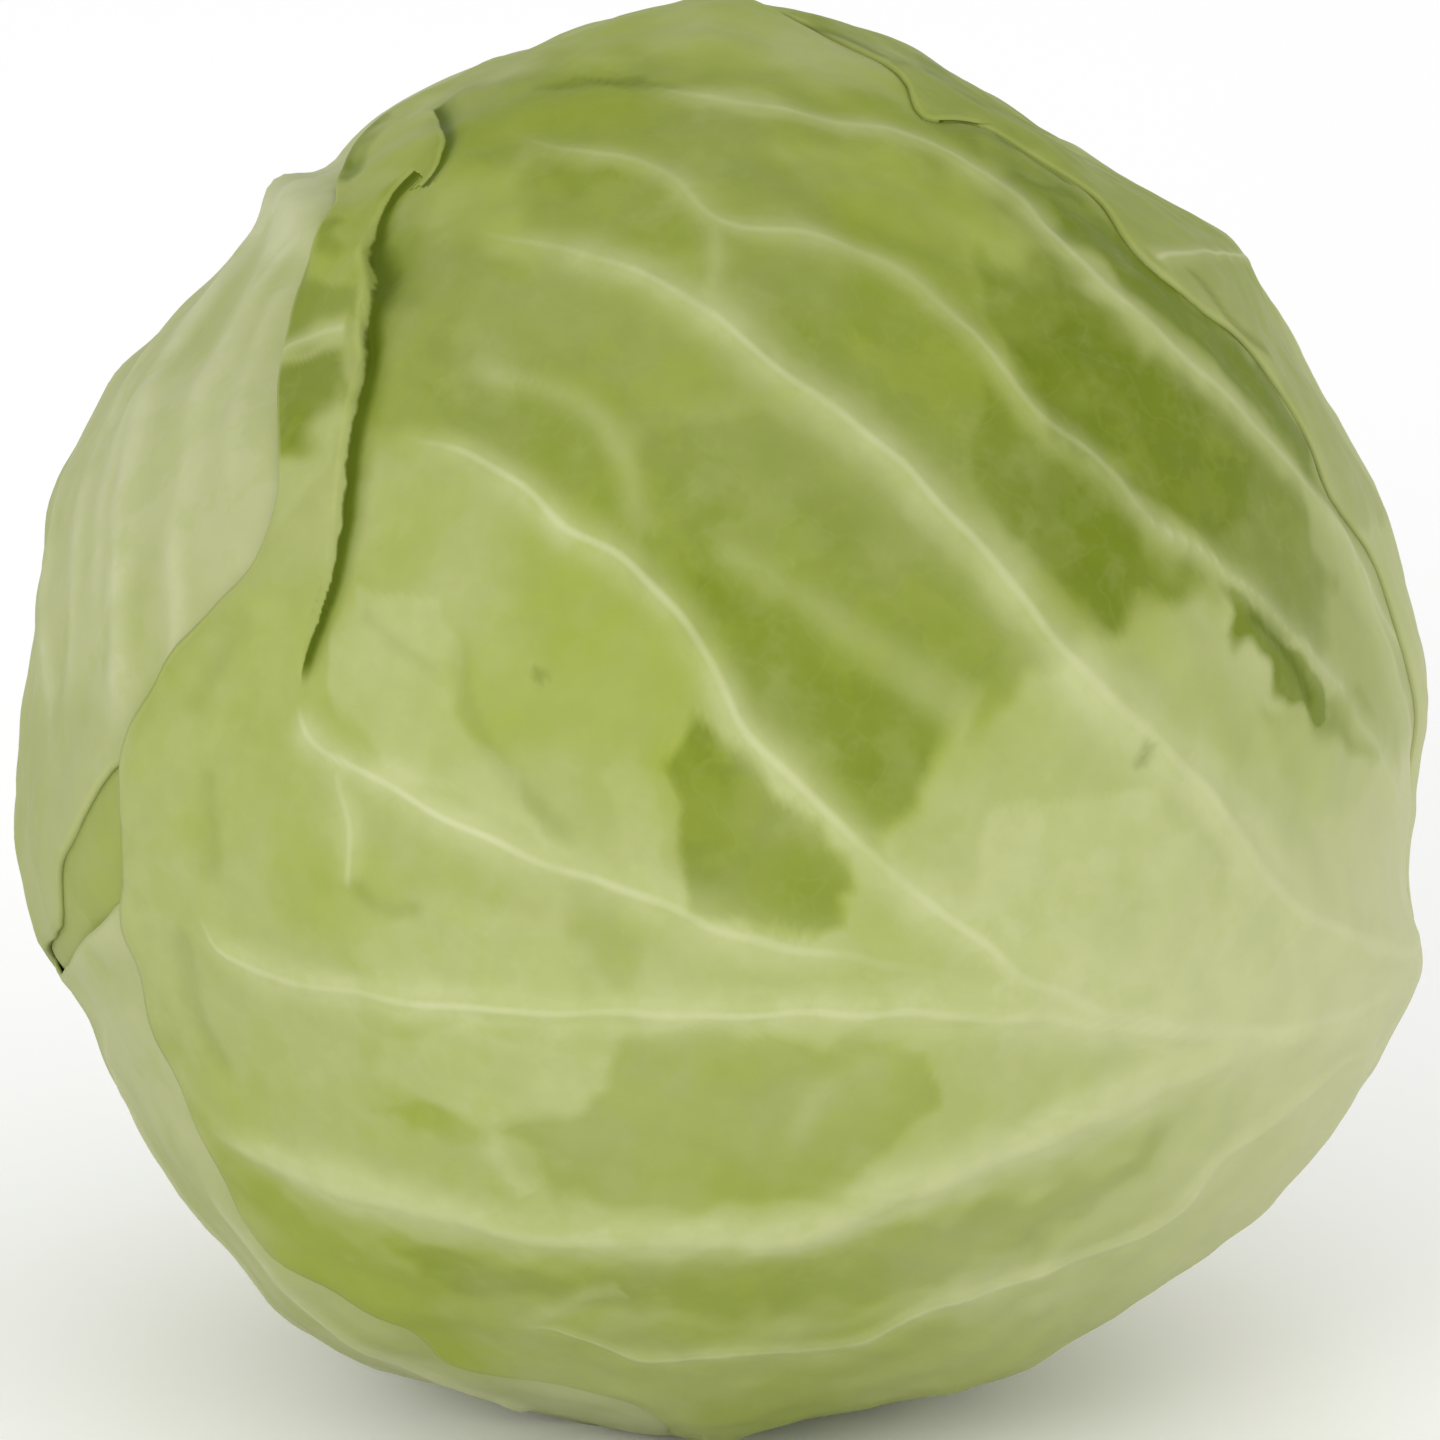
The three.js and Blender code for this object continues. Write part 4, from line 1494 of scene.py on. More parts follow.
    def front_veins(self) -> list[Vein]:
        """The front leaf's fan of veins, which spreads from the foot at the lower right."""
        return [
            Vein(line([(341, 89), (338, 80), (333, 68)], [(66, -38), (55, -39), (36, -37), (17, -37)]),
                 5.0, 0.8, 0.0, 11.0, 0.6),
            Vein(line([(347, 89), (354, 82)], [
                (85, 10), (79, 23), (73, 30), (65, 38), (55, 48), (43, 58), (36, 65), (29, 70), (21, 74),
                (10, 77), (-2, 80), (-15, 81)]), 1.7, 0.55, 0.25, 3.4, 0.65, 0.65),
            Vein(line([], [(88, 8), (84, 14), (81, 20), (77, 26)]), 1.6, 0.3, 0.6, 3.0, 0.5, 0.7),
            Vein(line([], [(80, 3), (74, 10), (66, 17), (57, 23), (53, 25.5)]), 1.5, 0.2, 0.5, 3.0, 0.5,
                 0.6),
            Vein(line([(346, 87), (352, 78)], [
                (80, 2), (75, 9), (65, 18), (56, 23), (50, 30), (41, 38), (35.8, 42.3), (28.2, 49.3),
                (20.6, 56), (11, 60.4), (0, 64), (-6, 69.3), (-12, 71), (-20, 71.6), (-30, 75)]), 1.4,
                 0.35, 0.18, 2.4, 0.5, 0.75),
            Vein(line([(343, 86), (341, 74)], [
                (73, -23), (64, -13), (56, -4), (50, 2), (43, 9), (33, 20), (23, 30), (14, 38), (7, 44),
                (0, 51), (-9, 55.5), (-20, 58.5), (-34, 61)]), 2.2, 0.9, 0.35, 5.6, 0.85, 0.5),
            Vein(line([], [(76, -41), (64, -40.5), (49, -38), (41, -34.5), (34, -29), (23, -20.5),
                           (14, -12), (4, -2), (-2, 9), (-10, 18), (-20, 25), (-30, 32), (-40, 35)]), 1.8,
                 0.6, 0.4, 3.6, 0.7, 0.6),
            Vein(line([], [(36, -35), (18, -31), (3, -28), (-10, -23), (-23, -18), (-32, -14), (-42, -9),
                           (-51, -3), (-53, 2)]), 1.6, 0.6, 0.6, 4.0, 0.7, 0.6, 0.35),
            Vein(line([(339, 80)], [(65, -41), (49, -40), (36, -38.5), (17, -38), (-15, -38), (-28, -38),
                                    (-40, -36), (-51, -34), (-63, -29), (-67, -24)]), 1.7, 0.6, 0.45, 4.4,
                 0.75, 0.5),
            Vein(line([(336, 80)], [(73, -41), (61, -46), (49, -51), (36, -56), (23, -61), (10, -66),
                                    (-2, -67), (-21, -66), (-37, -64), (-49, -60), (-59, -55),
                                    (-67, -50)]),
                 3.4, 0.9, 0.2, 5.2, 0.9, 0.6),
            Vein(line([(334, 80)], [(80, -43), (73, -50), (65, -57), (59, -63), (46, -69), (29, -75),
                                    (17, -80), (0, -82), (-10, -82), (-20, -78), (-28, -78)]), 1.5, 0.5,
                 0.3, 3.0, 0.55, 0.5),
            Vein(line([], [(0, 65), (-0.6, 59), (-1.6, 52)]), 1.4, 0.25, 0.0, 1.8, 0.4, 0.8),
            Vein(line([], [(-9, 22), (-11, 30), (-15, 37.5), (-22, 40.5), (-31, 43.5)]), 1.8, 0.2, 0.0,
                 2.4, 0.35, 0.7),
            Vein(line([], [(33, 0), (20, 8), (11, 14), (-2, 23)]), 1.8, 0.2, 0.0, 3.2, 0.35, 0.7),
            Vein(line([], [(-45.6, 47.6), (-50.4, 46.4), (-56.5, 43)]), 1.2, 0.2, 0.2, 2.0, 0.7, 0.8),
            Vein(line([], [(-49, -7), (-48, -14), (-46.8, -22)]), 1.2, 0.3, 0.25, 2.4, 0.4, 0.7),
            Vein(line([], [(37, -40), (28, -41), (19, -45), (12, -49), (10, -56)]), 1.8, 0.2, 0.0, 2.6,
                 0.3, 0.7),
            Vein(line([], [(-24, -61), (-28, -58), (-30, -54)]), 1.6, 0.2, 0.0, 2.0, 0.35, 0.7),
            Vein(line([], [(-12, -73), (-18, -74), (-24, -78)]), 1.6, 0.2, 0.0, 2.0, 0.35, 0.7),
            Vein(line([(325, 103), (305, 108), (285, 118)], []), 2.4, 0.7, 0.4, 5.0, 0.5),
        ]

    def front_tints(self) -> list[Tint]:
        """Deeper and paler patches of the front leaf: rubbed and bloomed ones between its veins, painted
        shadow under the top leaf's margin, and a deeper green over its upper half and a paler one over
        its lower half.

        Returns:
            The patches.
        """
        # upper gives the top half of the leaf a deeper green, and lower gives its bottom half a paler one
        upper = [
            (-36, 84), (-37, 70), (-43, 60), (-44, 47), (-43, 36), (-30, 32), (-20, 25), (-10, 18),
            (-2, 9), (4, -2), (14, -12), (22, -19), (25, -12), (30, -4), (36, 2), (43, 8), (52, 13),
            (62, 15), (70, 7), (78, -4), (86, -6), (99, 10), (90, 50), (60, 80), (20, 98), (-20, 96),
        ]
        lower = [
            (-44, 36), (-30, 31), (-20, 24), (-10, 17), (-2, 8), (4, -3), (14, -13), (22, -20), (25, -12),
            (30, -4), (36, 2), (43, 8), (52, 13), (62, 15), (70, 7), (78, -4), (86, -6), (99, -10),
            (90, -50), (66, -70), (40, -76), (0, -78), (-40, -72), (-66, -52), (-76, -30), (-84, -8),
            (-66, 6), (-58, 14), (-52, 14), (-46, 34),
        ]
        return [
            Tint(upper, 0.36, 2.5),
            Tint(lower, -0.32, 2.0),
            Tint([(32.4, 57.6), (42.7, 57), (46.6, 53), (54.5, 47), (60, 41), (67, 35), (73, 28),
                  (78, 17), (78, 9), (72, 10), (64, 19), (54, 26), (46.6, 32), (42, 36.5), (36.4, 44),
                  (33.3, 52)], 0.42, 1.0),
            Tint([(37, 46), (45, 50), (54, 45), (60, 38), (66, 32), (67, 25), (60, 23), (52, 28),
                  (45, 34), (40, 39)], 0.3, 2.0),
            Tint([(40, 36), (50, 29), (58, 22), (62, 17), (57, 14), (48, 18), (40, 27)], 0.2, 1.5),
            Tint([(43, 19), (53, 17), (64, 10), (72, 0), (66, -6), (55, -1), (47, 7)], 0.25, 2.0),
            Tint([(33, 70), (44, 68), (52, 60), (46, 57), (36, 63)], 0.25, 2.0),
            # a strip under the top leaf's margin, partly its own deeper green and partly painted shadow
            # of that margin; the two small patches after it are painted shadow of that margin
            Tint([(34, 67), (43, 66), (52, 59), (61, 52), (69, 43), (74, 35), (79, 25), (66, 40),
                  (56, 49), (46, 58), (37, 66)], 0.75, 1.5),
            Tint([(25, 76), (34, 75), (41, 72), (36, 70), (29, 73)], 0.35, 0.9),
            Tint([(52, 60), (60, 56), (68, 47), (60, 52)], 0.35, 0.9),
            Tint([(69, 2), (81, 3), (84, -8), (76, -12), (70, -6)], 0.35, 1.5),
            Tint([(3, 61), (14, 57), (23, 52), (31, 44), (41, 35), (51, 26), (61, 16), (59, 16), (55, 15),
                  (54, 11), (49, 9), (41, 15), (31, 24), (21, 34), (10, 43), (3, 52)], 0.12, 2.0),
            Tint([(33, 42), (41, 34), (51, 25), (60, 17), (55, 15), (52, 11), (45, 14), (35, 24),
                  (31, 34)], 0.3, 1.2),
            Tint([(63, 17), (70, 11), (78, 4), (78, -1), (73, 2), (69, 7), (64, 12)], 1.0, 0.8),
            Tint([(-10, 37), (-2, 39), (9, 38), (17, 32), (26, 23), (35, 15), (38, 10), (33, 4), (29, 1),
                  (27, -6), (24, -16), (19, -15), (13, -9), (3, 0), (-4, 10), (-10, 22)], 0.2, 1.2),
            Tint([(-5, 20), (5, 15), (14, 9), (23, 2), (28, -2), (27, -6), (25, -13), (21, -10), (14, -5),
                  (5, 2), (-2, 11)], 0.16, 1.2),
            Tint([(-8, -7), (-5, -12), (-5, -18), (-4, -24), (3, -26), (10, -28), (18, -23), (16, -18),
                  (10, -13), (3, -5), (-2, 0)], 0.85, 0.9),
            Tint([(-21, -22), (-15, -23), (-9, -28), (-12, -35), (-19, -29)], 0.35, 1.5),
            Tint([(-13, -42), (-14, -49), (-20, -51), (-28, -54), (-24, -57), (-20, -61), (-9, -63),
                  (4, -63), (17, -60), (23, -56), (29, -50), (27, -43), (17, -41), (-2, -40)], 0.45, 1.0),
            Tint([(-44, -50), (-37, -51), (-29, -54), (-30, -56), (-40, -54)], 0.3, 1.0),
            Tint([(-43, -68), (-25, -69), (-2, -69), (16, -67), (31, -63), (46, -58), (59, -52),
                  (55, -59), (41, -68), (23, -75), (3, -77), (-20, -75), (-37, -73)], 0.6, 1.5),
            Tint([(-37, 40), (-30, 41), (-20, 40), (-15, 37), (-12, 30), (-11, 25), (-18, 26), (-25, 32),
                  (-32, 35)], 0.15, 1.5),
            Tint([(-21, 69), (-12, 69), (-10, 67), (-20, 67)], 0.25, 0.8),
            Tint([(-21, 80), (-14, 81), (-7, 81), (-14, 80)], 0.5, 0.5),
            Tint([(-48.7, 66.7), (-47.5, 72.3), (-41.6, 77.5), (-42.5, 75), (-45.5, 71), (-46.5, 66.7)],
                 0.9, 0.9),
            Tint([(-51, 61.5), (-48, 62.5), (-46.5, 61), (-48, 59), (-50.5, 59.3)], 0.6, 0.9),
            Tint([(-55, 57.7), (-52, 57.5), (-50.4, 55), (-45.5, 54), (-44.4, 49.7), (-47.2, 47.5),
                  (-55, 45.3)], 0.55, 1.2),
            Tint([(-57, 41.8), (-50, 44.6), (-46.4, 46), (-45, 40.2), (-45.8, 37.9), (-50.6, 33.9),
                  (-57, 31.5)], 0.75, 1.2),
            Tint([(-46, 40), (-53, 33.5), (-56, 30), (-56, 24), (-50, 30), (-45.5, 36)], -0.35, 0.8),
            Tint([(-48, 16), (-35, 15), (-32, 1), (-24.5, -10.5), (-18, -16.5), (-30, -13), (-40, -8),
                  (-48, 0)], -0.32, 0.7),
            Tint([(-43, 35), (-32, 30), (-20, 23), (-12, 15), (-7, 2), (-10, -7), (-20, -5), (-30, 5),
                  (-40, 15), (-47, 20)], -0.05, 3.0),
            Tint([(-15, -7), (-9, -8), (-6, -21), (-12, -21)], -0.2, 0.9),
            Tint([(-46, -23), (-15, -24), (-20, -29), (-18, -37), (-43, -36)], -0.2, 2.0),
            Tint([(-43, -41), (-15, -41), (-13, -43), (-15, -49), (-23, -51), (-29, -52), (-37, -51),
                  (-43, -47)], -0.3, 1.0),
            Tint([(-46, 92), (-38, 79), (-22, 83), (0, 84), (14, 80), (26, 77), (20, 94)], -0.5, 3.0),
            Tint([(-38, 68), (-24, 70), (-23, 57), (-36, 61)], -0.4, 2.5),
            Tint([(8, 73), (22, 71), (34, 63), (42, 54), (32, 55), (20, 64)], -0.4, 2.5),
            Tint([(2, 50), (12, 48), (23, 38), (35, 29), (37, 24), (30, 24), (18, 34), (6, 42)], 0.2,
                 3.0),
            Tint([(-26, 24), (0, 18), (4, -4), (-2, -28), (-26, -26)], 0.22, 5.0),
            Tint([(-60, 2), (-26, 6), (-26, -26), (-60, -26)], 0.1, 6.0),
            Tint([(-44, 36), (-22, 26), (-6, 12), (-20, 8), (-40, 20)], 0.12, 4.0),
            Tint([(35, -17), (37, -12), (42, -9), (54, -10), (65, -18), (78, -23), (87, -31), (85, -37),
                  (74, -43), (55, -43), (38, -33), (34, -23)], -0.45, 1.0),
            Tint([(-75, -3), (-66, 0), (-53, -3), (-53, -16), (-58, -28), (-73, -28)], -0.05, 3.0),
            Tint([(40, 18), (52, 8), (64, 2), (60, -8), (46, -4), (36, 8)], 0.12, 3.0),
        ]

    def back(self, outer: list[Leaf]) -> Leaf:
        """The leaf over the back.

        Args:
            outer: The leaves that lie over it.

        Returns:
            The leaf.
        """
        outline = HEAD.around([
            *HEAD.foot_arc(135, 235), (326, 113), (312, 113), (295, 117), (275, 119), (262, 110),
            (245, 112), (230, 109), (215, 107), (203, 106), (190, 111), (175, 111), (160, 108),
            (145, 109), (130, 113), (118, 120), (105, 127), (85, 122), (60, 120), (35, 118), (12, 114),
            (355, 108),
        ])
        lines = branched((0, 180), *HEAD.around([(340, 113), (178, 116)]), 3, 74.0)
        veins = [Vein(curve, 2.2, 0.9, 0.5, 5.0, 0.7) for curve in lines]
        return Leaf("leaf_back", Slot.OUTER, (0, 180), outline, 180, outer, veins, seed=11)

    def left(self, outer: list[Leaf]) -> Leaf:
        """The pale ribbed leaf that shows at the upper left.

        Args:
            outer: The leaves that lie over it.

        Returns:
            The leaf.
        """
        outline = np.vstack([
            HEAD.front([(-75, -5), (-82, -14), (-84, -19), (-84, -27)]),
            HEAD.around([
                (200, 92), (202, 100), (197, 108), (185, 114), (172, 118), (150, 126), (125, 136),
                (100, 140), (80, 138), (60, 136), (40, 132), (15, 124), (356, 113),
                *HEAD.foot_arc(130, 45), (354, 86), (2, 78), (14, 68), (33, 62), (55, 60), (78, 58),
                (100, 52), (122, 40), (145, 28), (165, 28), (180, 36), (188, 48),
            ]),
        ])
        ribs = [
            ([(6, 100), (60, 100), (100, 96), (125, 93), (136, 83), (153, 72), (180, 61)], 3.6, 0.7),
            ([(6, 104), (60, 106), (100, 104), (128, 100), (150, 90), (172, 78), (186, 72)], 2.6, 0.5),
            ([(125, 84), (136, 70), (149, 60), (163, 52)], 2.6, 0.5),
            ([(100, 118), (125, 116), (150, 108), (170, 98), (188, 92)], 2.0, 0.6),
        ]
        veins = [
            Vein(HEAD.around(places), width, height, 0.0, 5.0, 0.5) for places, width, height in ribs
        ]
        veins += [
            Vein(HEAD.front([(-57, 64), (-68, 48), (-74, 32), (-75, 15), (-75, -3)]), 2.6, 0.6, 0.0, 3.2,
                 0.8, 0.9),
            Vein(HEAD.front([(-54, 60), (-62, 46), (-67, 30), (-68, 15), (-68, 2)]), 1.8, 0.4, 0.0, 2.4,
                 0.6, 0.9),
            Vein(HEAD.front([(-62, 62), (-76, 40), (-81, 20), (-82, 2)]), 1.6, 0.3, 0.0, 2.2, 0.5, 0.9),
            Vein(HEAD.front([(-54, 54), (-59, 41), (-61, 28)]), 1.4, 0.3, 0.0, 1.8, 0.4, 0.9),
        ]
        tints = [
            Tint([(-58, 68), (-50, 66), (-52, 58), (-58, 60)], -0.8, 3.0),
            Tint([(-92, 0), (-80, 2), (-70, 0), (-70, -30), (-92, -32)], 0.3, 5.0),
        ]
        return Leaf("leaf_left", Slot.PALE, (92, 90), outline, 220, outer, veins, tints, rim=0.9,
                    frill=0.2, wild=0.5, seed=13)

    def under(self, outer: list[Leaf]) -> Leaf:
        """The leaf that shows below the crown and under the head.

        Args:
            outer: The leaves that lie over it.

        Returns:
            The leaf.
        """
        outline = HEAD.around([
            (199, 68), (200.5, 78), (201, 88), (198, 97), (196, 106), (202, 117), (215, 125), (235, 130),
            (258, 134), (285, 134), (310, 124), (326, 114), *HEAD.foot_arc(225, 315), (315, 82),
            (290, 74), (265, 66), (245, 60), (225, 52), (206, 50), (197, 59),
        ])
        ribs = [
            ([(318, 100), (280, 98), (240, 94), (215, 90), (206, 78)], 2.2, 0.9),
            ([(255, 88), (238, 80), (222, 76)], 1.6, 0.6),
        ]
        veins = [
            Vein(HEAD.around(places), width, height, 0.4, 4.0, 0.6) for places, width, height in ribs
        ]
        return Leaf("leaf_under", Slot.UNDER, (266, 94), outline, 160, outer, veins, slack=0.0, seed=17)

    def leaves(self) -> list[Leaf]:
        """All five leaves; each lies under those before it.

        Returns:
            The leaves, outermost first.
        """
        top = self.top()
        front = self.front(top)
        back = self.back([top, front])
        left = self.left([top, front, back])
        return [top, front, back, left, self.under([top, front, back, left])]

    def build(self) -> list[bpy.types.Object]:
        """Build and dress every leaf.

        Returns:
            The finished pieces.
        """
        green = LeafFinish()
        pale = LeafFinish(light=srgb(164, 168, 123), mid=srgb(154, 160, 104), deep=srgb(131, 141, 62),
                          bloom=srgb(177, 180, 140), vein=srgb(187, 187, 159))
        return [leaf.dress(green if leaf.slot is Slot.OUTER else pale) for leaf in self.leaves()]


# ---------------------------------------------------------------- the core


def turned_faces(rows: int, columns: int) -> Array:
    """Triangles of a closed turned surface: a first pole, rows of columns points, a last pole.

    The rows run from the first pole to the last with the columns anticlockwise about the way
    from the last pole to the first, so that the faces point outwards.

    Args:
        rows: Rows between the poles.
        columns: Points in each row.

    Returns:
        Vertex indices, three a row.
    """
    row, column = (part.ravel() for part in np.meshgrid(np.arange(rows - 1), np.arange(columns)))
    after = (column + 1) % columns
    a, b = 1 + row * columns + column, 1 + row * columns + after
    c, d = b + columns, a + columns
    line_up = np.arange(columns)
    turned_up = (line_up + 1) % columns
    last = 1 + rows * columns
    first_fan = np.stack([np.zeros_like(line_up), 1 + line_up, 1 + turned_up], 1)
    start = 1 + (rows - 1) * columns
    last_fan = np.stack([np.full_like(line_up, last), start + turned_up, start + line_up], 1)
    return np.concatenate([np.stack([a, d, c], 1), np.stack([a, c, b], 1), first_fan, last_fan])


@dataclass
class CutStem:
    """The stump of the stem, cut flat a little proud of the leaves.

    Attributes:
        root: Distance of its inner end from the middle of the head.
        shoulder: Distance where it is as wide as its face.
        face: Distance of the cut face.
        root_radius: Radius at the inner end.
        radius: Radius at the face.
        bevel: Rounding of the face's rim.
        columns: Points in a ring.
        clearance: Gap to the bore round it.
        ease: Share of the radii that is kept, so that it goes in the bore.
        dish: Depth of the hollow in the cut face.
        rim_waves: Height, count and phase of each wave round the rim.
    """

    root: float = 56.0
    shoulder: float = 84.0
    face: float = 89.2
    root_radius: float = 10.0
    radius: float = 13.2
    bevel: float = 0.9
    columns: int = 120
    clearance: float = 0.4
    ease: float = 0.985
    dish: float = 0.5
    rim_waves: tuple[tuple[float, int, float], ...] = ((0.02, 3, 0.6), (0.012, 7, 2.0))

    def frame(self) -> Array:
        """Rows: the stem's two side axes and its axis.

        Returns:
            The three axes, one a row.
        """
        axis = HEAD.stem_axis
        side = unit(np.cross([0.0, 0.0, 1.0], axis))
        return np.stack([side, np.cross(axis, side), axis])

    def profile(self) -> tuple[Array, Array]:
        """Radii and distances along the axis, from the cut face's rim of rings to the root.

        Returns:
            The radii and the distances in millimetres.
        """
        face = np.linspace(0.5, self.radius - self.bevel, 26)
        round_off = np.radians(np.linspace(0, 90, 5)[1:])
        wall = np.linspace(0, 1, 20)[1:]
        edge = self.face - self.bevel
        down = edge + (self.shoulder - self.face + self.bevel) * np.linspace(0, 1, 8)[1:]
        radii = np.concatenate([
            face, self.radius - self.bevel + self.bevel * np.sin(round_off), np.full(7, self.radius),
            self.radius + (self.root_radius - self.radius) * wall,
            np.linspace(self.root_radius, 1.0, 6)[1:],
        ])
        depths = np.concatenate([
            np.full(26, self.face), self.face - self.bevel + self.bevel * np.cos(round_off), down,
            self.shoulder + (self.root - self.shoulder) * wall, np.full(5, self.root),
        ])
        return radii, depths

    def build(self) -> bpy.types.Object:
        """Build the stump: rings with a slightly wavy rim, a dished face and knife marks.

        Returns:
            The new object.
        """
        radii, depths = self.profile()
        turn = np.linspace(0, 2 * np.pi, self.columns, endpoint=False)
        wavy = np.ones(self.columns)
        for height, count, phase in self.rim_waves:
            wavy += height * np.sin(count * turn + phase)
        share = radii / self.radius
        out = radii[:, None] * (1 + (wavy - 1) * smooth(share, 0.4, 1.0)[:, None]) * self.ease
        on_face = smooth(depths, self.shoulder + 4.0, self.face - 0.8)
        marks = 0.12 * np.sin(out * np.cos(turn - 0.7) * 1.9) + 0.1 * np.sin(out * 2.2)
        dish = -self.dish * (1 - share**2)
        cut = dish[:, None] + marks * smooth(1 - share, 0.0, 0.2)[:, None]
        along = depths[:, None] + on_face[:, None] * cut
        rings = np.stack([out * np.cos(turn), out * np.sin(turn), along], axis=-1).reshape(-1, 3)
        ends = np.array([[0, 0, self.face - 0.5], [0, 0, self.root]])
        local = np.vstack([ends[:1], rings, ends[1:]])
        vertices = local @ self.frame() + np.array(HEAD.centre)
        ring = np.concatenate([[0.0], np.repeat(share, self.columns), [0.0]])
        near_face = smooth(depths, self.face - 1.2, self.face - 0.3)
        face = np.concatenate([[1.0], np.repeat(near_face, self.columns), [0.0]])
        faces = turned_faces(len(radii), self.columns)
        return make_mesh("cut_stem", vertices * MM, faces, {"ring": ring, "face": face})

    def dress(self) -> bpy.types.Object:
        """Build the stump, give it its finish and let it stand for its CAD node.

        Returns:
            The finished piece.
        """
        piece = self.build()
        piece.data.materials.append(StemFinish().material("cut_stem"))
        settle(piece, "cut_stem")
        return piece


@dataclass
class InnerHead:
    """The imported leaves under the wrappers, bored for the stem.

    Attributes:
        leaves: The wrapper leaves, which press it in.
        stem: The stem that it is bored for.
        gap: How far it lies under the leaves.
        bore_gap: Clear width round the stem at the surface.
        bore_rim: Distance of the bore's rim from the middle of the head.
        throat: How far under the stem's shoulder the bore's wall starts.
        tint: How rubbed it is.
        wild: How strong its angular patches are.
        foot_reach: How far the paleness round the stem reaches.
        rows: Rings from the far side to the bore.
        columns: Points in each ring.
    """

    leaves: list[Leaf]
    stem: CutStem
    gap: float = 0.1
    bore_gap: float = 0.5
    bore_rim: float = 84.0
    throat: float = 4.0
    tint: float = 0.5
    wild: float = 0.4
    foot_reach: float = 60.0
    rows: int = 150
    columns: int = 240

    def build(self) -> bpy.types.Object:
        """Build rings about the stem's axis, from the far side to the bore and down its wall.

        Returns:
            The new object.
        """
        axes = self.stem.frame()
        edge = np.arcsin((self.stem.radius + self.bore_gap) / self.bore_rim)
        lean = np.linspace(np.pi - 0.02, edge, self.rows)
        turn = -np.linspace(0, 2 * np.pi, self.columns, endpoint=False)
        side = np.cos(turn)[:, None] * axes[0] + np.sin(turn)[:, None] * axes[1]
        spread = np.sin(lean)[:, None, None] * side + np.cos(lean)[:, None, None] * axes[2]
        directions = np.vstack([-axes[2:], spread.reshape(-1, 3)])
        depth = sum(leaf.press(directions) for leaf in self.leaves) + self.gap
        folds = 0.15 * ripple(directions, 26.0, 5)
        radius = HEAD.radius(directions) - depth + np.minimum(folds, 0.0)
        skin = HEAD.place(directions, radius)
        foot, shoulder = self.stem.root - self.stem.clearance, self.stem.shoulder
        down = np.linspace(shoulder - self.throat, foot, 8)
        width = self.stem.root_radius + self.stem.clearance + (
            (down - foot) / (shoulder - foot) * (self.stem.radius - self.stem.root_radius)
        )
        wall = (width[:, None, None] * side + down[:, None, None] * axes[2]).reshape(-1, 3)
        floor = foot * axes[2:]
        vertices = np.vstack([skin, wall + np.array(HEAD.centre), floor + np.array(HEAD.centre)])
        faces = turned_faces(self.rows + len(down), self.columns)
        return make_mesh("inner_head", vertices * MM, faces, self.layers(vertices))

    def layers(self, vertices: Array) -> dict[str, Array]:
        """Attributes of a leaf without veins or painted patches.

        Args:
            vertices: Positions in millimetres, one a row.

        Returns:
            Values at the vertices, by attribute name.
        """
        reach = HEAD.reach(unit(vertices - np.array(HEAD.centre)), HEAD.stem_axis)
        values = {
            "tint": self.tint, "wild": self.wild, "across": FAR_CORE, "beside": FAR, "margin": FAR,
            "cleft": FAR_CLEFT, "white": 0.0, "pale": 0.0, "torn": 0.0, "joined": 0.0, "soft": 0.0,
            "crease": 0.0,
        }
        layers = {name: np.full(len(vertices), value) for name, value in values.items()}
        return layers | {"foot": bell(reach, self.foot_reach)}

    def dress(self) -> bpy.types.Object:
        """Build the head, give it its finish and let it stand for its CAD node.

        Returns:
            The finished piece.
        """
        piece = self.build()
        finish = LeafFinish(light=srgb(155, 163, 98), mid=srgb(140, 150, 71), deep=srgb(121, 133, 49))
        piece.data.materials.append(finish.material("inner_head"))
        settle(piece, "inner_head")
        return piece


# ---------------------------------------------------------------- the studio


@dataclass(frozen=True)
class Lamp:
    """One soft square lamp aimed at the head."""

    name: str
    place: tuple[float, float, float]
    size: float
    power: float

    def build(self) -> None:
        """Put the lamp in the scene."""
        data = bpy.data.lights.new(self.name, "AREA")
        data.shape, data.size, data.energy = "SQUARE", self.size, self.power
        lamp = bpy.data.objects.new(self.name, data)
        lamp.location = self.place
        aim = Vector(HEAD.centre) * MM - lamp.location
        lamp.rotation_euler = aim.to_track_quat("-Z", "Y").to_euler()
        bpy.context.scene.collection.objects.link(lamp)


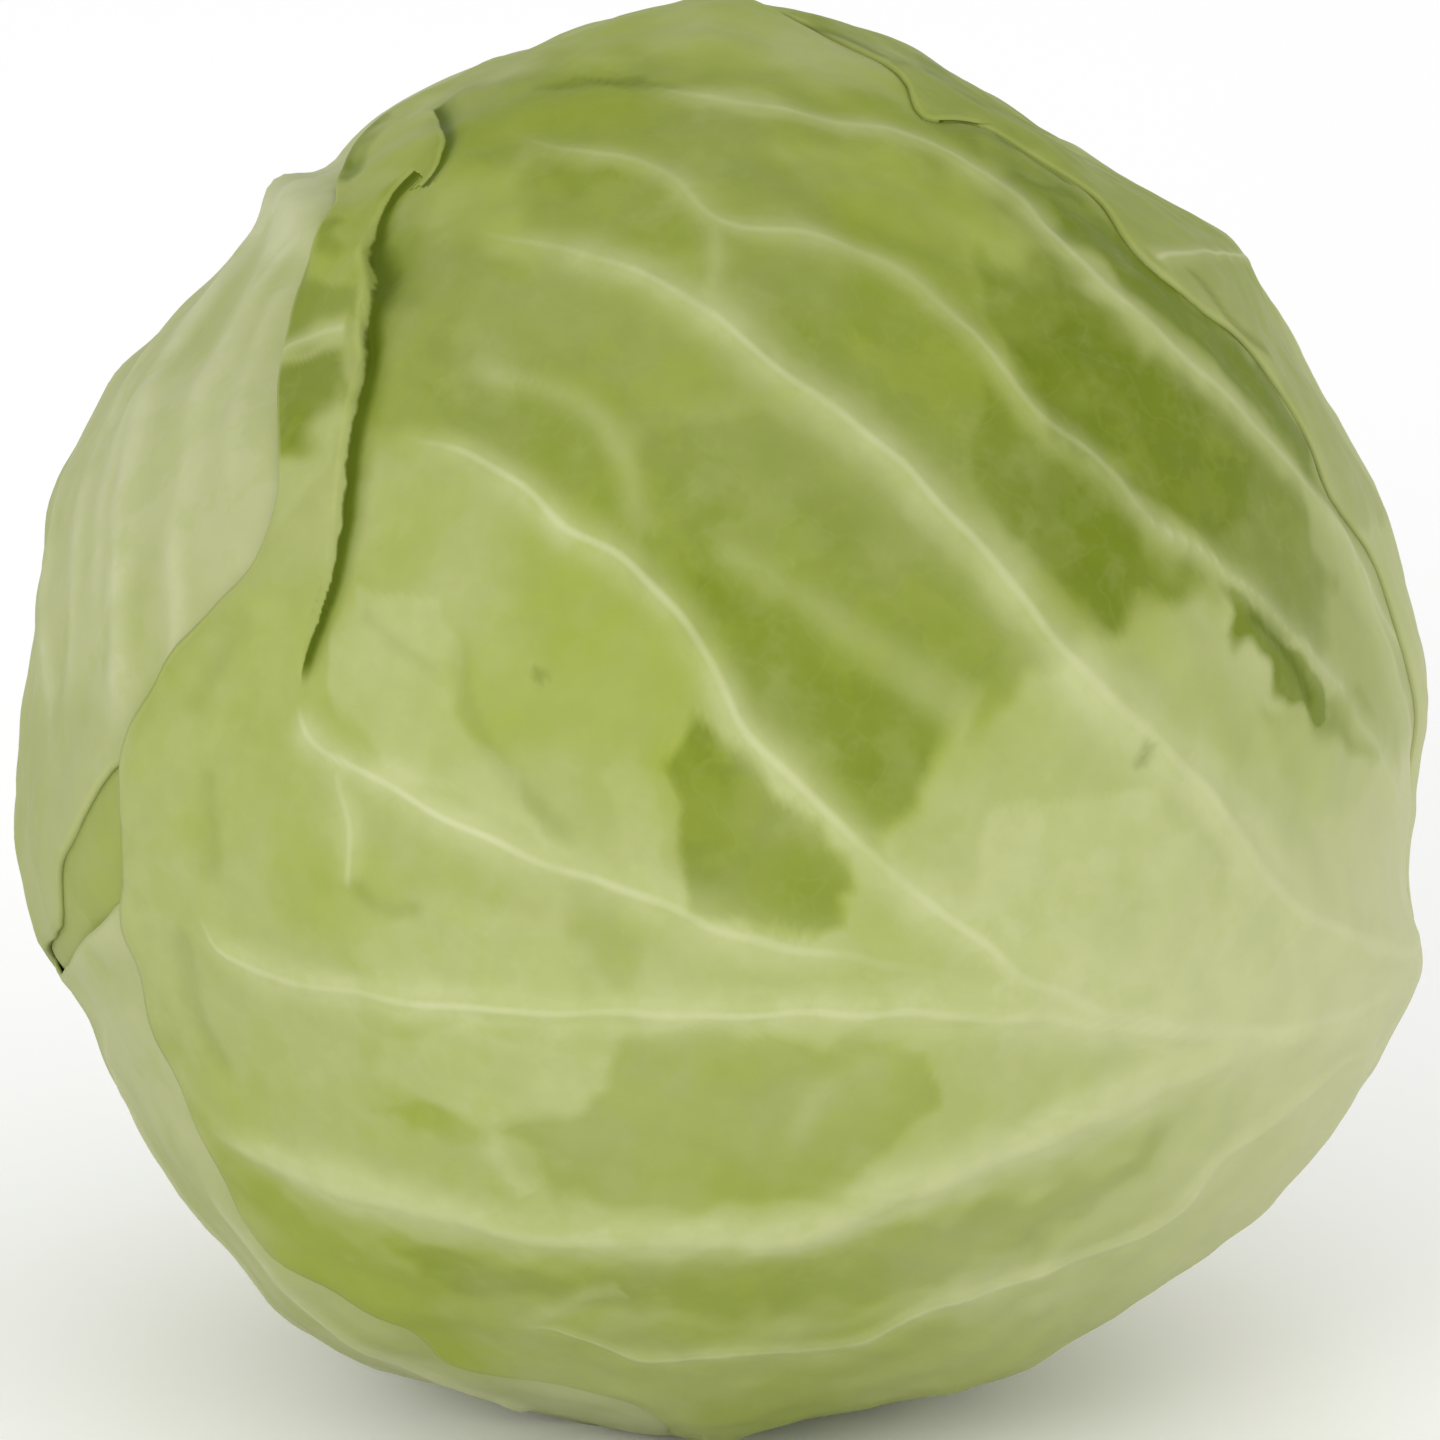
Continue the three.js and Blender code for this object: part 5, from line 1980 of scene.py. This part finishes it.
@dataclass
class Studio:
    """Pale floor, soft lamps, even surrounding light and the camera."""

    floor_size: float = 12.0
    floor_cells: int = 8
    surround: float = 0.95
    distance: float = 7.0
    elevation: float = 18.0
    frame_width: float = 183.05
    aim: tuple[float, float] = (0.25, -0.25)
    lamps: tuple[Lamp, ...] = (
        Lamp("key", (-1.2, -2.3, 0.9), 1.4, 28.0),
        Lamp("fill", (1.7, -1.5, 0.5), 1.6, 11.0),
    )

    def build_floor(self) -> None:
        """Lay the floor, a square grid of a few cells."""
        count = self.floor_cells
        side = np.linspace(-self.floor_size / 2, self.floor_size / 2, count + 1)
        x, y = (part.ravel() for part in np.meshgrid(side, side))
        row, column = (part.ravel() for part in np.meshgrid(np.arange(count), np.arange(count)))
        a = row * (count + 1) + column
        b, c, d = a + 1, a + count + 2, a + count + 1
        faces = np.concatenate([np.stack([a, b, c], 1), np.stack([a, c, d], 1)])
        floor = make_mesh("floor", np.stack([x, y, np.zeros_like(x)], 1), faces, {})
        floor.data.materials.append(FloorFinish().material("floor"))

    def build_light(self) -> None:
        """Set the even surrounding light and the lamps."""
        world = bpy.data.worlds.new("studio")
        world.use_nodes = True
        background = world.node_tree.nodes["Background"]
        background.inputs["Color"].default_value = (1.0, 1.0, 1.0, 1.0)
        background.inputs["Strength"].default_value = self.surround
        bpy.context.scene.world = world
        for lamp in self.lamps:
            lamp.build()
        bpy.context.scene.view_settings.view_transform = "Standard"

    def build_camera(self) -> None:
        """Aim a long lens at the middle of the head."""
        lean = np.radians(self.elevation)
        right, up, out = HEAD.axes
        aim = (np.array(HEAD.centre) + self.aim[0] * right + self.aim[1] * up) * MM
        data = bpy.data.cameras.new("camera")
        data.sensor_width = 36.0
        data.lens = 36.0 * self.distance / (self.frame_width * MM)
        camera = bpy.data.objects.new("camera", data)
        camera.location = aim + out * self.distance
        camera.rotation_euler = (np.pi / 2 - lean, 0.0, 0.0)
        bpy.context.scene.collection.objects.link(camera)
        bpy.context.scene.camera = camera

    def build(self) -> None:
        """Build the whole studio."""
        self.build_floor()
        self.build_light()
        self.build_camera()
        log.info("studio: floor, %d lamps and camera", len(self.lamps))


def main() -> None:
    """Build the leaves, the inner head, the stem and the studio."""
    logging.basicConfig(level=logging.INFO, format="%(name)s: %(message)s")
    wrapping = Wrapping()
    wrapping.build()
    stem = CutStem()
    InnerHead(wrapping.leaves(), stem).dress()
    stem.dress()
    Studio().build()


if __name__ == "__main__":
    main()
